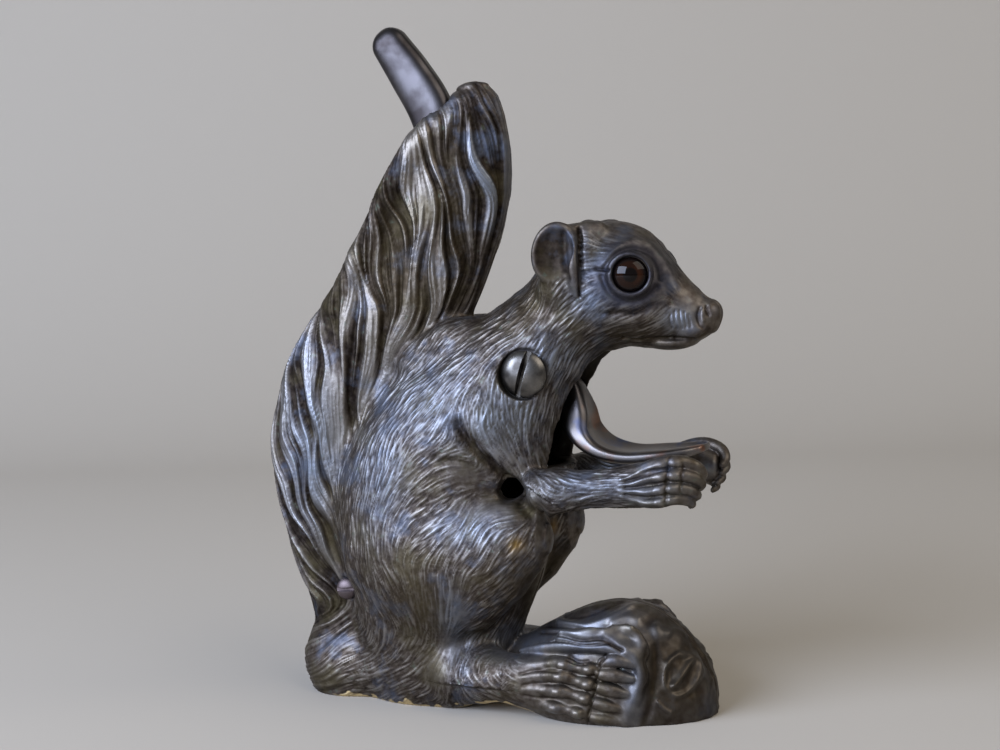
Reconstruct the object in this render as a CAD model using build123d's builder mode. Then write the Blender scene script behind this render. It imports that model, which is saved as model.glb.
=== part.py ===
from build123d import *
import os
from math import atan2, cos, degrees, radians, sin
from typing import NamedTuple

# A squirrel nutcracker: two hollow bronze half castings, screwed together round one swinging lever.
#
# Frame, in millimetres: +X is the way the squirrel faces, +Z is up, Y = 0 is the parting plane of the
# two halves, and Z = 0 is the plane that the base stands on.  The right half lies on the -Y side.

os.makedirs("parts", exist_ok=True)

# ---------------------------------------------------------------- driving dimensions

wall = 4.0                 # bronze left round the hollow of the body
nut_wall = 5.0             # bronze left round the hollow under the nut

lever_thick = 9.0          # handle, arm and hub of the lever, across the parting plane
lever_gap = 0.7            # free space beside the lever, to each half
swing_gap = 1.4            # free space round the lever's edge, over its whole swing
swing = 33.0               # degrees that the handle pulls back
hub_radius = 9.0

tray_half_width = 12.0     # at the middle of the nut tray
tray_depth = 2.2           # of the tray's hollow
tray_rim = 2.4             # width of the rim each side of the channel
chest_gap = 1.1            # free space each side of the tray, in the chest

pivot_x, pivot_z = 15.0, 111.0
pivot_bore = 5.0           # radius of the lever's bore
bush_wall = 1.4
running_gap = 0.06         # radial, lever on its bush
fit_gap = 0.05             # radial, a screw in the hole that it is clamped in
hub_side_gap = 0.3         # lever's hub to each boss
boss_wall = 4.6            # metal round the bush's seat in each half

screw_seat = 19.2          # pivot screw's seat, out from the parting plane
screw_head_radius = 7.7
screw_head_height = 3.6
screw_slot_width = 1.4
screw_slot_depth = 1.7
screw_slot_turn = 16.0     # degrees, how far the slot leans forward of upright
screw_reach = 13.0         # thread's length in the far half, past the parting plane
head_gap = 0.4             # radial, a screw's head in its recess
screw_rim_share = 0.22     # straight rim's share of a screw head's height

tail_screw_x, tail_screw_z = -53.0, 37.0
tail_screw_seat = 10.2
tail_screw_head_radius = 3.6
tail_screw_head_height = 1.9
tail_screw_shank = 2.0     # radius
tail_screw_slot_width = 0.8
tail_screw_slot_depth = 0.9
tail_screw_slot_turn = 86.0
tail_screw_reach = 6.5
tail_boss_radius = 5.5

eye_x, eye_y, eye_z = 49.0, 14.0, 142.0      # centre of the glass eye's back plate
eye_radius = 5.4
eye_plate = 3.0            # straight rim of the glass eye, in its socket
eye_dome = 2.6
eye_forward = 12.0         # degrees that the eye looks forward of straight out
lid_radius = 8.0
lid_height = 3.6           # above the eye's back plate
lid_root = 5.0             # how deep the lid's ring starts inside the head

ear_x, ear_y, ear_z = 26.5, 8.0, 149.5
ear_half_length, ear_half_width = 10.0, 7.4
ear_thick = 9.5
ear_lean = -12.0           # degrees, top of the ear towards the back

chest_back, chest_front = 12.0, 50.0         # how far the chest's opening runs along X
chest_floor = 80.3
chest_wide, chest_neck, chest_top = 93.0, 107.0, 117.0
chest_neck_half = 9.0
chest_round = 3.0

lever_round = 2.6          # rounding of the handle's long edges
overrun = 25.0             # degrees that a half section runs on past the parting plane before it is cut
blind_end = 1.0            # drill point's depth past the end of a screw


class Oval(NamedTuple):
    """One oval section of a form: its centre, how far its long axis turns from +X towards +Z, its size."""

    x: float
    z: float
    turn: float
    half_length: float
    half_width: float
    y: float = 0.0


class Station(NamedTuple):
    """One point along the lever's middle line, half its width there and half its thickness."""

    x: float
    z: float
    half_width: float
    half_thick: float = lever_thick / 2


# Rump, belly and chest, from below the base up into the neck
trunk_sections = [
    Oval(-27.0, -6.0, 0, 25.0, 16.0),
    Oval(-24.0, 20.0, 0, 28.0, 21.0),
    Oval(-21.5, 45.0, 0, 35.0, 25.5),
    Oval(-21.0, 68.0, 0, 38.0, 26.5),
    Oval(-9.0, 91.0, -18, 36.0, 25.0),
    Oval(8.0, 109.0, -38, 25.0, 22.5),
    Oval(17.5, 119.5, -50, 17.5, 18.0),
]

# Neck and head, from inside the chest forward to the muzzle
head_sections = [
    Oval(10.0, 111.5, -44, 18.0, 18.0),
    Oval(19.5, 122.0, -55, 17.8, 18.3),
    Oval(30.0, 133.5, -70, 20.0, 18.5),
    Oval(41.0, 138.0, -82, 20.3, 19.0),
    Oval(51.0, 136.5, -90, 18.6, 17.0),
    Oval(60.0, 131.5, -90, 13.0, 11.5),
    Oval(67.0, 128.5, -90, 8.6, 7.2),
    Oval(72.5, 127.5, -90, 4.4, 3.8),
]

# The tail, from the base plane up to its tip
tail_sections = [
    Oval(-54.0, -6.0, 0, 11.0, 9.0),
    Oval(-57.5, 10.0, 0, 16.0, 11.0),
    Oval(-57.5, 26.0, 0, 12.5, 10.0),
    Oval(-62.0, 50.0, 4, 15.0, 11.0),
    Oval(-65.0, 77.0, -4, 18.0, 11.5),
    Oval(-60.0, 98.0, -16, 20.5, 11.5),
    Oval(-48.0, 116.0, -30, 22.0, 11.5),
    Oval(-32.5, 133.0, -24, 22.0, 11.0),
    Oval(-22.5, 151.0, -14, 21.5, 10.5),
    Oval(-15.5, 168.0, -8, 20.0, 10.0),
    Oval(-11.0, 183.0, -6, 16.0, 9.5),
    Oval(-9.0, 194.0, 4, 11.0, 9.0),
    Oval(-7.5, 201.0, 12, 6.0, 6.0),
]

# The thigh with its knee, the lower leg, and the foot that clasps the nut, on the right side
thigh_sections = [
    Oval(-47.0, 50.0, -90, 12.0, 9.0, -12.0),
    Oval(-35.0, 50.0, -90, 24.0, 13.0, -14.0),
    Oval(-18.0, 48.5, -90, 27.0, 14.0, -15.5),
    Oval(0.0, 50.5, -90, 22.5, 12.5, -17.0),
    Oval(12.0, 55.0, -90, 16.0, 10.5, -17.5),
    Oval(19.0, 57.5, -90, 9.0, 7.0, -17.5),
    Oval(21.3, 58.0, -90, 4.0, 3.5, -17.5),
]
shin_sections = [
    Oval(6.0, 56.0, 0, 13.5, 9.0, -17.5),
    Oval(5.5, 45.0, 0, 13.0, 9.0, -18.0),
    Oval(1.5, 33.0, 0, 11.5, 8.0, -18.0),
    Oval(-2.5, 22.0, 0, 10.0, 7.5, -17.0),
    Oval(-3.0, 10.0, 0, 11.0, 7.0, -16.5),
]
foot_sections = [
    Oval(-12.0, 10.0, -90, 7.0, 5.5, -15.5),
    Oval(2.0, 11.5, -90, 8.5, 7.0, -17.5),
    Oval(14.0, 12.0, -90, 9.0, 7.0, -19.0),
    Oval(27.0, 11.5, -90, 10.5, 6.5, -20.5),
    Oval(40.0, 11.0, -90, 12.0, 6.0, -20.5),
    Oval(47.0, 10.0, -90, 10.5, 5.0, -20.0),
    Oval(50.5, 9.5, -90, 6.0, 2.5, -19.5),
]

# The husk behind the nut, then the nut at the front of the base
nut_sections = [
    Oval(-5.0, 2.0, -90, 14.0, 9.0),
    Oval(8.0, 2.0, -90, 21.0, 12.0),
    Oval(20.0, 2.0, -90, 27.5, 18.0),
    Oval(32.0, 2.0, -90, 32.8, 21.5),
    Oval(42.0, 2.0, -90, 34.0, 22.0),
    Oval(52.0, 2.0, -90, 31.5, 21.0),
    Oval(61.0, 2.0, -90, 25.0, 17.0),
    Oval(67.0, 2.0, -90, 16.5, 11.5),
    Oval(70.3, 2.0, -90, 8.0, 6.0),
]

# Upper arm, and forearm with its paw, on the right side
upper_arm_sections = [
    Oval(8.0, 103.0, -15, 13.0, 5.0, -17.0),
    Oval(12.0, 91.0, -15, 13.5, 6.5, -19.0),
    Oval(18.0, 80.0, -20, 10.5, 6.5, -19.5),
    Oval(22.0, 73.0, -30, 7.0, 5.5, -19.5),
]
forearm_sections = [
    Oval(19.0, 73.5, -90, 5.0, 4.5, -19.5),
    Oval(24.0, 74.0, -90, 7.0, 6.0, -19.8),
    Oval(35.0, 74.8, -90, 6.2, 5.8, -19.5),
    Oval(45.0, 75.4, -90, 6.4, 5.8, -19.0),
    Oval(53.0, 76.8, -90, 8.4, 6.2, -18.0),
    Oval(61.5, 77.4, -90, 8.8, 6.2, -17.5),
    Oval(68.0, 78.0, -90, 7.0, 5.4, -17.0),
    Oval(71.0, 78.0, -90, 3.5, 3.0, -17.0),
]

# The lever's middle line: handle and arm from the tip down to the hub, then the tray's J
arm_stations = [
    Station(-38.5, 218.8, 4.8),
    Station(-31.5, 208.0, 6.0),
    Station(-24.0, 195.5, 6.8),
    Station(-19.5, 181.0, 6.4),
    Station(-18.5, 164.0, 6.0),
    Station(-20.5, 148.0, 6.0),
    Station(-22.5, 132.0, 6.2),
    Station(-16.5, 118.5, 6.6),
    Station(-4.0, 110.5, 7.2),
    Station(pivot_x, pivot_z, hub_radius - 1.5),
]
tray_stations = [
    Station(16.0, 110.0, 7.0),
    Station(22.0, 104.0, 6.5),
    Station(26.5, 97.0, 5.5, 7.6),
    Station(29.2, 90.6, 4.2, 10.6),
    Station(35.0, 85.8, 3.0, tray_half_width),
    Station(44.0, 83.6, 2.5, tray_half_width),
    Station(55.0, 84.3, 2.3, 11.2),
    Station(63.0, 85.3, 2.0, 9.0),
    Station(67.5, 86.2, 1.5, 6.5),
]


# ---------------------------------------------------------------- shared shapes

def section_plane(x, y, z, turn):
    """Plane across a form: its X axis lies along the parting plane, turned from +X towards +Z."""
    a = radians(turn)
    return Plane(origin=(x, y, z), x_dir=(cos(a), 0, sin(a)), z_dir=(-sin(a), 0, cos(a)))


def half_ovals(sections, inset=0.0):
    """The sections cut off a little past the parting plane, smaller all round by the inset."""
    faces = []
    for s in sections:
        with BuildSketch(section_plane(s.x, 0, s.z, s.turn)) as half_oval:
            with BuildLine():
                rim = EllipticalCenterArc((0, 0), s.half_length - inset, s.half_width - inset,
                                          start_angle=180 - overrun, arc_size=180 + 2 * overrun)
                Line(rim @ 1, rim @ 0)
            make_face()
        faces.append(half_oval.sketch.face())
    return faces


def ovals(sections):
    """The sections of a limb as filled ovals."""
    faces = []
    for s in sections:
        with BuildSketch(section_plane(s.x, s.y, s.z, s.turn)) as oval:
            Ellipse(s.half_length, s.half_width)
        faces.append(oval.sketch.face())
    return faces


def heading(stations, i):
    """Direction of the lever's middle line at one station, in degrees from +X towards +Z."""
    before = stations[max(i - 1, 0)]
    after = stations[min(i + 1, len(stations) - 1)]
    return degrees(atan2(after.z - before.z, after.x - before.x))


def edge_points(stations, side, margin):
    """Points beside the middle line, half the width and the margin away: side is +1 left or -1 right."""
    points = []
    for i, s in enumerate(stations):
        a = radians(heading(stations, i) + 90 * side)
        reach = s.half_width + margin
        points.append((s.x + reach * cos(a), s.z + reach * sin(a)))
    return points


def arm_outline(margin=0.0):
    """Side view of the handle and arm, grown all round by the margin, drawn on Plane.XZ."""
    tip = arm_stations[0]
    a = radians(heading(arm_stations, 0) + 180)
    reach = tip.half_width + margin
    crown = (tip.x + reach * cos(a), tip.z + reach * sin(a))
    left = edge_points(arm_stations, 1, margin)
    right = edge_points(arm_stations, -1, margin)
    with BuildSketch() as outline:
        with BuildLine():
            Spline(*left)
            Spline(*right)
            ThreePointArc(left[0], crown, right[0])
            Line(left[-1], right[-1])
        make_face()
        with Locations((pivot_x, pivot_z)):
            Circle(hub_radius + margin)
    return outline.sketch


def tray_slabs():
    """Cross-sections of the tray's J: rounded slabs square to its middle line."""
    faces = []
    for i, s in enumerate(tray_stations):
        plane = section_plane(s.x, 0, s.z, heading(tray_stations, i) - 90)
        with BuildSketch(plane) as slab:
            RectangleRounded(2 * s.half_width, 2 * s.half_thick, s.half_width * 0.6)
        faces.append(slab.sketch.face())
    return faces


def tray_hollows():
    """Cross-sections of the shallow hollow along the tray's upper side."""
    faces = []
    for i, s in enumerate(tray_stations[1:-1], start=1):
        plane = section_plane(s.x, 0, s.z, heading(tray_stations, i) - 90)
        with BuildSketch(plane) as hollow:
            with Locations((-s.half_width, 0)):
                Ellipse(tray_depth, s.half_thick - tray_rim)
        faces.append(hollow.sketch.face())
    return faces


def slotted_screw(head_radius, head_height, shank_radius, shank_length, slot_width, slot_depth, slot_turn):
    """A dome-head screw: its seat at the origin, its head towards +Z, its slot turned about Z."""
    rim = head_height * screw_rim_share
    dome = head_height - rim
    ball = (head_radius ** 2 + dome ** 2) / (2 * dome)
    with BuildPart() as screw:
        with BuildSketch(Plane.XZ):
            with BuildLine():
                Polyline((0, head_height), (0, -shank_length), (shank_radius, -shank_length),
                         (shank_radius, 0), (head_radius, 0), (head_radius, rim))
                RadiusArc((head_radius, rim), (0, head_height), -ball)
            make_face()
        revolve(axis=Axis.Z)
        with BuildSketch(Plane.XY.offset(head_height)):
            Rectangle(3 * head_radius, slot_width, rotation=slot_turn)
        extrude(amount=-slot_depth, mode=Mode.SUBTRACT)
    return screw.part


# ---------------------------------------------------------------- worked-out sizes

bush_radius = pivot_bore - running_gap
bush_bore = bush_radius - bush_wall
screw_shank = bush_bore - fit_gap
boss_face = lever_thick / 2 + hub_side_gap
boss_radius = bush_radius + boss_wall
bay_half = lever_thick / 2 + lever_gap
chest_half = tray_half_width + chest_gap
eye_ball = (eye_radius ** 2 + eye_dome ** 2) / (2 * eye_dome)     # radius of the glass dome

swing_steps = 8            # places where the lever's outline is cut, from rest to its limit
pivot_line = Axis((pivot_x, pivot_z, 0), (0, 0, 1))      # the pivot as Plane.XZ sees it
eye_out = Plane(origin=(eye_x, -eye_y, eye_z), x_dir=(cos(radians(eye_forward)), sin(radians(eye_forward)), 0),
                z_dir=(sin(radians(eye_forward)), -cos(radians(eye_forward)), 0))
ear_out = Plane(origin=(ear_x, -ear_y, ear_z), x_dir=(1, 0, 0), z_dir=(0, -1, 0))
pivot_out = Plane(origin=(pivot_x, 0, pivot_z), x_dir=(1, 0, 0), z_dir=(0, -1, 0))
tail_screw_out = Plane(origin=(tail_screw_x, 0, tail_screw_z), x_dir=(1, 0, 0), z_dir=(0, -1, 0))


# ---------------------------------------------------------------- one half casting, without its screw holes

with BuildPart() as half_form:
    loft(half_ovals(trunk_sections))
    loft(half_ovals(head_sections))
    loft(half_ovals(tail_sections))
    loft(half_ovals(nut_sections))
    loft(ovals(thigh_sections))
    loft(ovals(shin_sections))
    loft(ovals(foot_sections))
    loft(ovals(upper_arm_sections))
    loft(ovals(forearm_sections))

    # The ear, and the lid's ring round the eye
    with BuildSketch(ear_out):
        Ellipse(ear_half_width, ear_half_length, rotation=ear_lean)
    extrude(amount=ear_thick)
    with BuildSketch(eye_out.offset(-lid_root)):
        Circle(lid_radius)
    extrude(amount=lid_root + lid_height)

    # Flat base and flat parting face
    split(bisect_by=Plane.XY, keep=Keep.TOP)
    split(bisect_by=Plane.XZ, keep=Keep.TOP)

    # The hollows of the body and of the nut, open below
    loft(half_ovals(trunk_sections[:-1], inset=wall), mode=Mode.SUBTRACT)
    loft(half_ovals(nut_sections[2:-1], inset=nut_wall), mode=Mode.SUBTRACT)

    # The bay that the handle and arm swing in, open along the tail's back
    with BuildSketch(Plane.XZ) as bay:
        for step in range(swing_steps + 1):
            add(arm_outline(swing_gap).rotate(pivot_line, swing * step / swing_steps))
    extrude(amount=bay_half, mode=Mode.SUBTRACT)

    # The chest's opening, which the tray comes out of
    with BuildSketch(Plane.YZ.offset(chest_back)):
        with BuildLine():
            Polyline((1, chest_top), (-bay_half, chest_top), (-chest_neck_half, chest_neck),
                     (-chest_half, chest_wide), (-chest_half, chest_floor), (1, chest_floor), close=True)
        make_face()
        fillet(vertices().sort_by(Axis.X)[:2], chest_round)
    extrude(amount=chest_front - chest_back, mode=Mode.SUBTRACT)

    # Bosses round both screws, and the seat of the glass eye
    with BuildSketch(pivot_out.offset(boss_face)):
        Circle(boss_radius)
    extrude(amount=screw_seat - boss_face - 1)
    with BuildSketch(tail_screw_out):
        Circle(tail_boss_radius)
    extrude(amount=tail_screw_seat - 1)
    with BuildSketch(eye_out):
        Circle(eye_radius + fit_gap)
    extrude(amount=lid_height + eye_dome, mode=Mode.SUBTRACT)


# ---------------------------------------------------------------- the two halves

with BuildPart() as right_half:
    add(half_form.part)
    with BuildSketch(pivot_out.offset(screw_seat)):
        Circle(screw_head_radius + head_gap)
    extrude(amount=screw_head_height * 2, mode=Mode.SUBTRACT)
    with BuildSketch(pivot_out):
        Circle(screw_shank + fit_gap)
    extrude(amount=screw_seat, mode=Mode.SUBTRACT)
    with BuildSketch(tail_screw_out.offset(tail_screw_seat)):
        Circle(tail_screw_head_radius + head_gap)
    extrude(amount=tail_screw_head_height * 2, mode=Mode.SUBTRACT)
    with BuildSketch(tail_screw_out):
        Circle(tail_screw_shank + fit_gap)
    extrude(amount=tail_screw_seat, mode=Mode.SUBTRACT)
right_half.part.label = "right_half"

with BuildPart() as left_half:
    add(mirror(half_form.part, about=Plane.XZ))
    with BuildSketch(pivot_out):
        Circle(screw_shank + fit_gap)
    extrude(amount=-(screw_reach + blind_end), mode=Mode.SUBTRACT)
    with BuildSketch(tail_screw_out):
        Circle(tail_screw_shank + fit_gap)
    extrude(amount=-(tail_screw_reach + blind_end), mode=Mode.SUBTRACT)
left_half.part.label = "left_half"


# ---------------------------------------------------------------- the lever

with BuildPart() as lever:
    with BuildSketch(Plane.XZ):
        add(arm_outline())
    extrude(amount=lever_thick / 2, both=True)
    fillet(lever.edges().filter_by(GeomType.CIRCLE, reverse=True).filter_by(Axis.Y, reverse=True), lever_round)
    loft(tray_slabs())
    loft(tray_hollows(), mode=Mode.SUBTRACT)
    with BuildSketch(Plane.XZ):
        with Locations((pivot_x, pivot_z)):
            Circle(hub_radius)
    extrude(amount=lever_thick / 2, both=True)
    with BuildSketch(Plane.XZ):
        with Locations((pivot_x, pivot_z)):
            Circle(pivot_bore)
    extrude(amount=lever_thick, both=True, mode=Mode.SUBTRACT)
lever.part.label = "lever"


# ---------------------------------------------------------------- screws, bush and eyes

with BuildPart() as pivot_screw:
    add(pivot_out.offset(screw_seat).location
        * slotted_screw(screw_head_radius, screw_head_height, screw_shank, screw_seat + screw_reach,
                        screw_slot_width, screw_slot_depth, 90 - screw_slot_turn))
pivot_screw.part.label = "pivot_screw"

with BuildPart() as pivot_bush:
    with BuildSketch(pivot_out.offset(-boss_face)):
        Circle(bush_radius)
        Circle(bush_bore, mode=Mode.SUBTRACT)
    extrude(amount=2 * boss_face)
pivot_bush.part.label = "pivot_bush"

with BuildPart() as tail_screw:
    add(tail_screw_out.offset(tail_screw_seat).location
        * slotted_screw(tail_screw_head_radius, tail_screw_head_height, tail_screw_shank,
                        tail_screw_seat + tail_screw_reach, tail_screw_slot_width, tail_screw_slot_depth,
                        90 - tail_screw_slot_turn))
tail_screw.part.label = "tail_screw"

with BuildPart() as right_eye:
    with BuildSketch(Plane(origin=eye_out.origin, x_dir=eye_out.x_dir, z_dir=-eye_out.y_dir)):
        with BuildLine():
            Polyline((0, eye_plate + eye_dome), (0, 0), (eye_radius, 0), (eye_radius, eye_plate))
            RadiusArc((eye_radius, eye_plate), (0, eye_plate + eye_dome), -eye_ball)
        make_face()
    revolve(axis=Axis(eye_out.origin, eye_out.z_dir))
right_eye.part.label = "right_eye"

with BuildPart() as left_eye:
    add(mirror(right_eye.part, about=Plane.XZ))
left_eye.part.label = "left_eye"


for piece in (right_half, left_half, lever, pivot_screw, pivot_bush, tail_screw, right_eye, left_eye):
    export_step(piece.part, f"parts/{piece.part.label}.step")
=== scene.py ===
"""Dresses a squirrel nutcracker: two cast bronze halves, a swinging lever, two screws and two glass eyes.

Sizes in the classes are millimetres, and become metres when a mesh is made.  Both halves share one form,
so a point is given as (x, out, z): x the way the squirrel faces, z up, and out the distance from the
parting plane.  A half casting is one signed-distance field, because its limbs, paws and ears melt into
each other, which no single grid of two parameters gives.  The lever, screws, bush and eyes are grids.
"""
import logging
import math
from dataclasses import dataclass, field
from enum import Enum
from typing import Callable, Iterator, Sequence

import bmesh
import bpy
import numpy as np
from mathutils import Matrix, Vector


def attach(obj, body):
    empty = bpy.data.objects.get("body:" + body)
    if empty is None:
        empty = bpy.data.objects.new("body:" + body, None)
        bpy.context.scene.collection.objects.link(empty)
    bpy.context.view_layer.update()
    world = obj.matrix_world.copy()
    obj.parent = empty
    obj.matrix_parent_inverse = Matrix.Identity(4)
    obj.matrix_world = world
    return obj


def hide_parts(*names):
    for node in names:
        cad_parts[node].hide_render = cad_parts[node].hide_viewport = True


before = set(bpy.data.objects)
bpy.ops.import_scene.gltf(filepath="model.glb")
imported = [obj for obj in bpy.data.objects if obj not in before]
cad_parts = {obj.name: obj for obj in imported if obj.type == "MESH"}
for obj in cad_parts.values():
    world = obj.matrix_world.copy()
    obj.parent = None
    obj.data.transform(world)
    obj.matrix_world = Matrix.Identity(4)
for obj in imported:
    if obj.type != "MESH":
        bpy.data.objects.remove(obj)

Array = np.ndarray
Colour = tuple[float, float, float, float]
Material = bpy.types.Material
Object = bpy.types.Object
Socket = bpy.types.NodeSocket
Tree = bpy.types.NodeTree

MM = 0.001
PIECE_ORDER = ("tail_root", "tail_brush", "leg", "nut", "arm", "head",
               "body_base", "body_haunch", "body_shoulder")
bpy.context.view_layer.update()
FAR = 60.0                      # distance given to points well away from a form
POINTS_PER_SPAN = 8             # points of a curve between two of its sections, in lofts and the tray
HASH_PRIMES = (73856093, 19349663, 83492791)    # spread a cell's three numbers over the noise table
log = logging.getLogger("nutcracker")


class Side(Enum):
    """The two half castings, by the sign of their Y."""

    RIGHT = -1
    LEFT = 1


class Region(Enum):
    """Stretches of a half casting, each made as a piece of its own."""

    TAIL = 0
    BODY = 1
    LEG = 2
    NUT = 3
    ARM = 4
    HEAD = 5


# ---------------------------------------------------------------- curves and distances

def smoothstep(value: Array, low: float, high: float) -> Array:
    """Rises from 0 at low to 1 at high along 3t^2 - 2t^3.

    Args:
        value: Where to work it out.
        low: Value that gives 0.
        high: Value that gives 1.

    Returns:
        An array of the same shape, from 0 to 1.
    """
    t = np.clip((value - low) / (high - low), 0.0, 1.0)
    return t * t * (3.0 - 2.0 * t)


def through(rows: Array, per_span: int) -> Array:
    """Runs a smooth curve through rows of numbers: a cubic per span, with slopes from the neighbours.

    Args:
        rows: The numbers at each station, one row a station.
        per_span: How many points to make on each span.

    Returns:
        Rows along the curve, the last station's row included.
    """
    padded = np.vstack([2 * rows[0] - rows[1], rows, 2 * rows[-1] - rows[-2]])
    before, start, end, after = padded[:-3], padded[1:-2], padded[2:-1], padded[3:]
    t = np.linspace(0.0, 1.0, per_span, endpoint=False)[:, None, None]
    cubic = 0.5 * (2 * start + (end - before) * t + (2 * before - 5 * start + 4 * end - after) * t ** 2
                   + (3 * start - before - 3 * end + after) * t ** 3)
    return np.vstack([cubic.transpose(1, 0, 2).reshape(-1, rows.shape[1]), rows[-1:]])


def melt(a: Array, b: Array, radius: float) -> Array:
    """Union of two distance fields with a fillet: the lesser, less a parabola where they are close."""
    near = np.maximum(radius - np.abs(a - b), 0.0) / radius
    return np.minimum(a, b) - near * near * radius * 0.25


def carve(a: Array, tool: Array, radius: float) -> Array:
    """Field a with the tool's inside taken away, its edge rounded by the radius."""
    return -melt(-a, tool, radius)


def polyline_distance(points: Array, line: Array) -> tuple[Array, Array]:
    """Distance to a bent line: to each run's nearest point, and the least of them.

    Args:
        points: Points, one a row.
        line: The line's corners, one a row, of as many columns as the points.

    Returns:
        The distance, and how far along the line its nearest point is, in corners.
    """
    best = np.full(len(points), np.inf, points.dtype)
    along = np.zeros(len(points), points.dtype)
    for index, (start, end) in enumerate(zip(line[:-1], line[1:])):
        run = (end - start).astype(points.dtype)
        offset = points - start.astype(points.dtype)
        t = np.clip(offset @ run / (run @ run), 0.0, 1.0)
        gap = np.linalg.norm(offset - t[:, None] * run, axis=1)
        nearer = gap < best
        best = np.where(nearer, gap, best)
        along = np.where(nearer, index + t, along)
    return best, along


# ---------------------------------------------------------------- forms of the casting

class Solid:
    """A form with a signed distance, worked out only inside its box and a margin round it."""

    margin = 7.0

    def box(self) -> tuple[Array, Array]:
        """Lowest and highest corner of the form."""
        raise NotImplementedError

    def exact(self, p: Array) -> Array:
        """Distance of points near the form."""
        raise NotImplementedError

    def distance(self, p: Array) -> Array:
        """Distance of any points, FAR outside the margin.

        Args:
            p: Points (x, out, z), one a row.

        Returns:
            Millimetres to the surface, negative inside.
        """
        low, high = self.box()
        near = np.all((p > low - self.margin) & (p < high + self.margin), axis=1)
        result = np.full(len(p), FAR, np.float32)
        if near.any():
            result[near] = self.exact(p[near])
        return result


@dataclass(frozen=True)
class Oval:
    """One oval section: its centre, how far its long axis turns from +X towards +Z, and its half axes."""

    x: float
    z: float
    turn: float
    half_length: float
    half_width: float
    out: float = 0.0


@dataclass(frozen=True)
class Loft(Solid):
    """A form through oval sections.

    A point's station is its share of the way from one section plane to the next, and the oval there
    follows a smooth curve through the sections.  Its distance is (q - 1) q / |grad q^2 / 2|, with q the
    root of the sum of squared offsets over half axes.  Rounded caps close both ends.
    """

    ovals: tuple[Oval, ...]
    start_cap: float = 5.0
    end_cap: float = 3.0

    def rows(self) -> Array:
        """The sections as rows: x, z, turn in radians, half length, half width, out."""
        return np.array([[o.x, o.z, math.radians(o.turn), o.half_length, o.half_width, o.out]
                         for o in self.ovals], np.float32)

    def box(self) -> tuple[Array, Array]:
        """Lowest and highest corner, from the sections' largest half axes."""
        x, z, _, reach, width, out = self.rows().T
        low = np.array([(x - reach).min(), (out - width).min(), (z - reach).min()])
        high = np.array([(x + reach).max(), (out + width).max(), (z + reach).max()])
        return low, high

    def exact(self, p: Array) -> Array:
        """Distance of points near the form, as the class says."""
        rows = self.rows()
        last = len(rows) - 1
        heights = [(p[:, 2] - r[1]) * math.cos(r[2]) - (p[:, 0] - r[0]) * math.sin(r[2]) for r in rows]
        past_end = heights[last] >= 0.0
        station = np.where(past_end, np.float32(last), np.float32(0.0))
        over = np.where(past_end, heights[last] / self.end_cap, np.maximum(-heights[0], 0.0) / self.start_cap)
        slant = np.where(past_end, 1.0 / self.end_cap, 1.0 / self.start_cap)
        for i in range(last):
            inside = (heights[i] >= 0.0) & (heights[i + 1] < 0.0)
            share = heights[i] / np.maximum(heights[i] - heights[i + 1], 1e-6)
            station = np.where(inside, i + share, station)
            over = np.where(inside, 0.0, over)
        table = through(rows, POINTS_PER_SPAN)
        place = station * POINTS_PER_SPAN
        cell = np.minimum(place.astype(np.int32), len(table) - 2)
        part = (place - cell)[:, None]
        oval = table[cell] * (1.0 - part) + table[cell + 1] * part
        along = (p[:, 0] - oval[:, 0]) * np.cos(oval[:, 2]) + (p[:, 2] - oval[:, 1]) * np.sin(oval[:, 2])
        u = along / oval[:, 3]
        v = (p[:, 1] - oval[:, 5]) / oval[:, 4]
        q = np.sqrt(u * u + v * v + over * over) + 1e-6
        slope = np.sqrt((u / oval[:, 3]) ** 2 + (v / oval[:, 4]) ** 2 + (over * slant) ** 2) + 1e-6
        return (q - 1.0) * q / slope


@dataclass(frozen=True)
class Tube(Solid):
    """A bent rod: rows of (x, out, z, radius), its radius even between them, its ends round."""

    knots: tuple[tuple[float, float, float, float], ...]
    margin: float = 3.0

    def box(self) -> tuple[Array, Array]:
        """Lowest and highest corner, each knot's radius counted."""
        rows = np.array(self.knots)
        return (rows[:, :3] - rows[:, 3:]).min(axis=0), (rows[:, :3] + rows[:, 3:]).max(axis=0)

    def exact(self, p: Array) -> Array:
        """Distance to the bent line less the radius beside it, on a smooth line through the knots."""
        rows = through(np.array(self.knots, np.float32), 3)
        gap, along = polyline_distance(p, rows[:, :3])
        return gap - np.interp(along, np.arange(len(rows)), rows[:, 3])


@dataclass(frozen=True)
class Pebble(Solid):
    """An ellipsoid: centre, half axes, lean in the XZ plane and swing of its first axis towards out."""

    centre: tuple[float, float, float]
    half: tuple[float, float, float]
    lean: float = 0.0
    swing: float = 0.0
    margin: float = 4.0

    def axes(self) -> Array:
        """Rows: the first axis (forward, turned by lean and swing), the outward axis, the third axis."""
        lean, swing = math.radians(self.lean), math.radians(self.swing)
        forward = np.array([math.cos(lean), 0.0, math.sin(lean)])
        upward = np.array([-math.sin(lean), 0.0, math.cos(lean)])
        outward = np.array([0.0, 1.0, 0.0])
        turned = forward * math.cos(swing) + outward * math.sin(swing)
        return np.array([turned, outward * math.cos(swing) - forward * math.sin(swing), upward], np.float32)

    def box(self) -> tuple[Array, Array]:
        """Lowest and highest corner of a ball as large as the longest half axis."""
        return np.array(self.centre) - max(self.half), np.array(self.centre) + max(self.half)

    def exact(self, p: Array) -> Array:
        """(q - 1) q / |grad q^2 / 2|, with q the root of the sum of squared offsets over half axes."""
        local = (p - np.array(self.centre, np.float32)) @ self.axes().T / np.array(self.half, np.float32)
        q = np.linalg.norm(local, axis=1) + 1e-6
        slope = np.linalg.norm(local / np.array(self.half, np.float32), axis=1) + 1e-6
        return (q - 1.0) * q / slope


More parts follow.
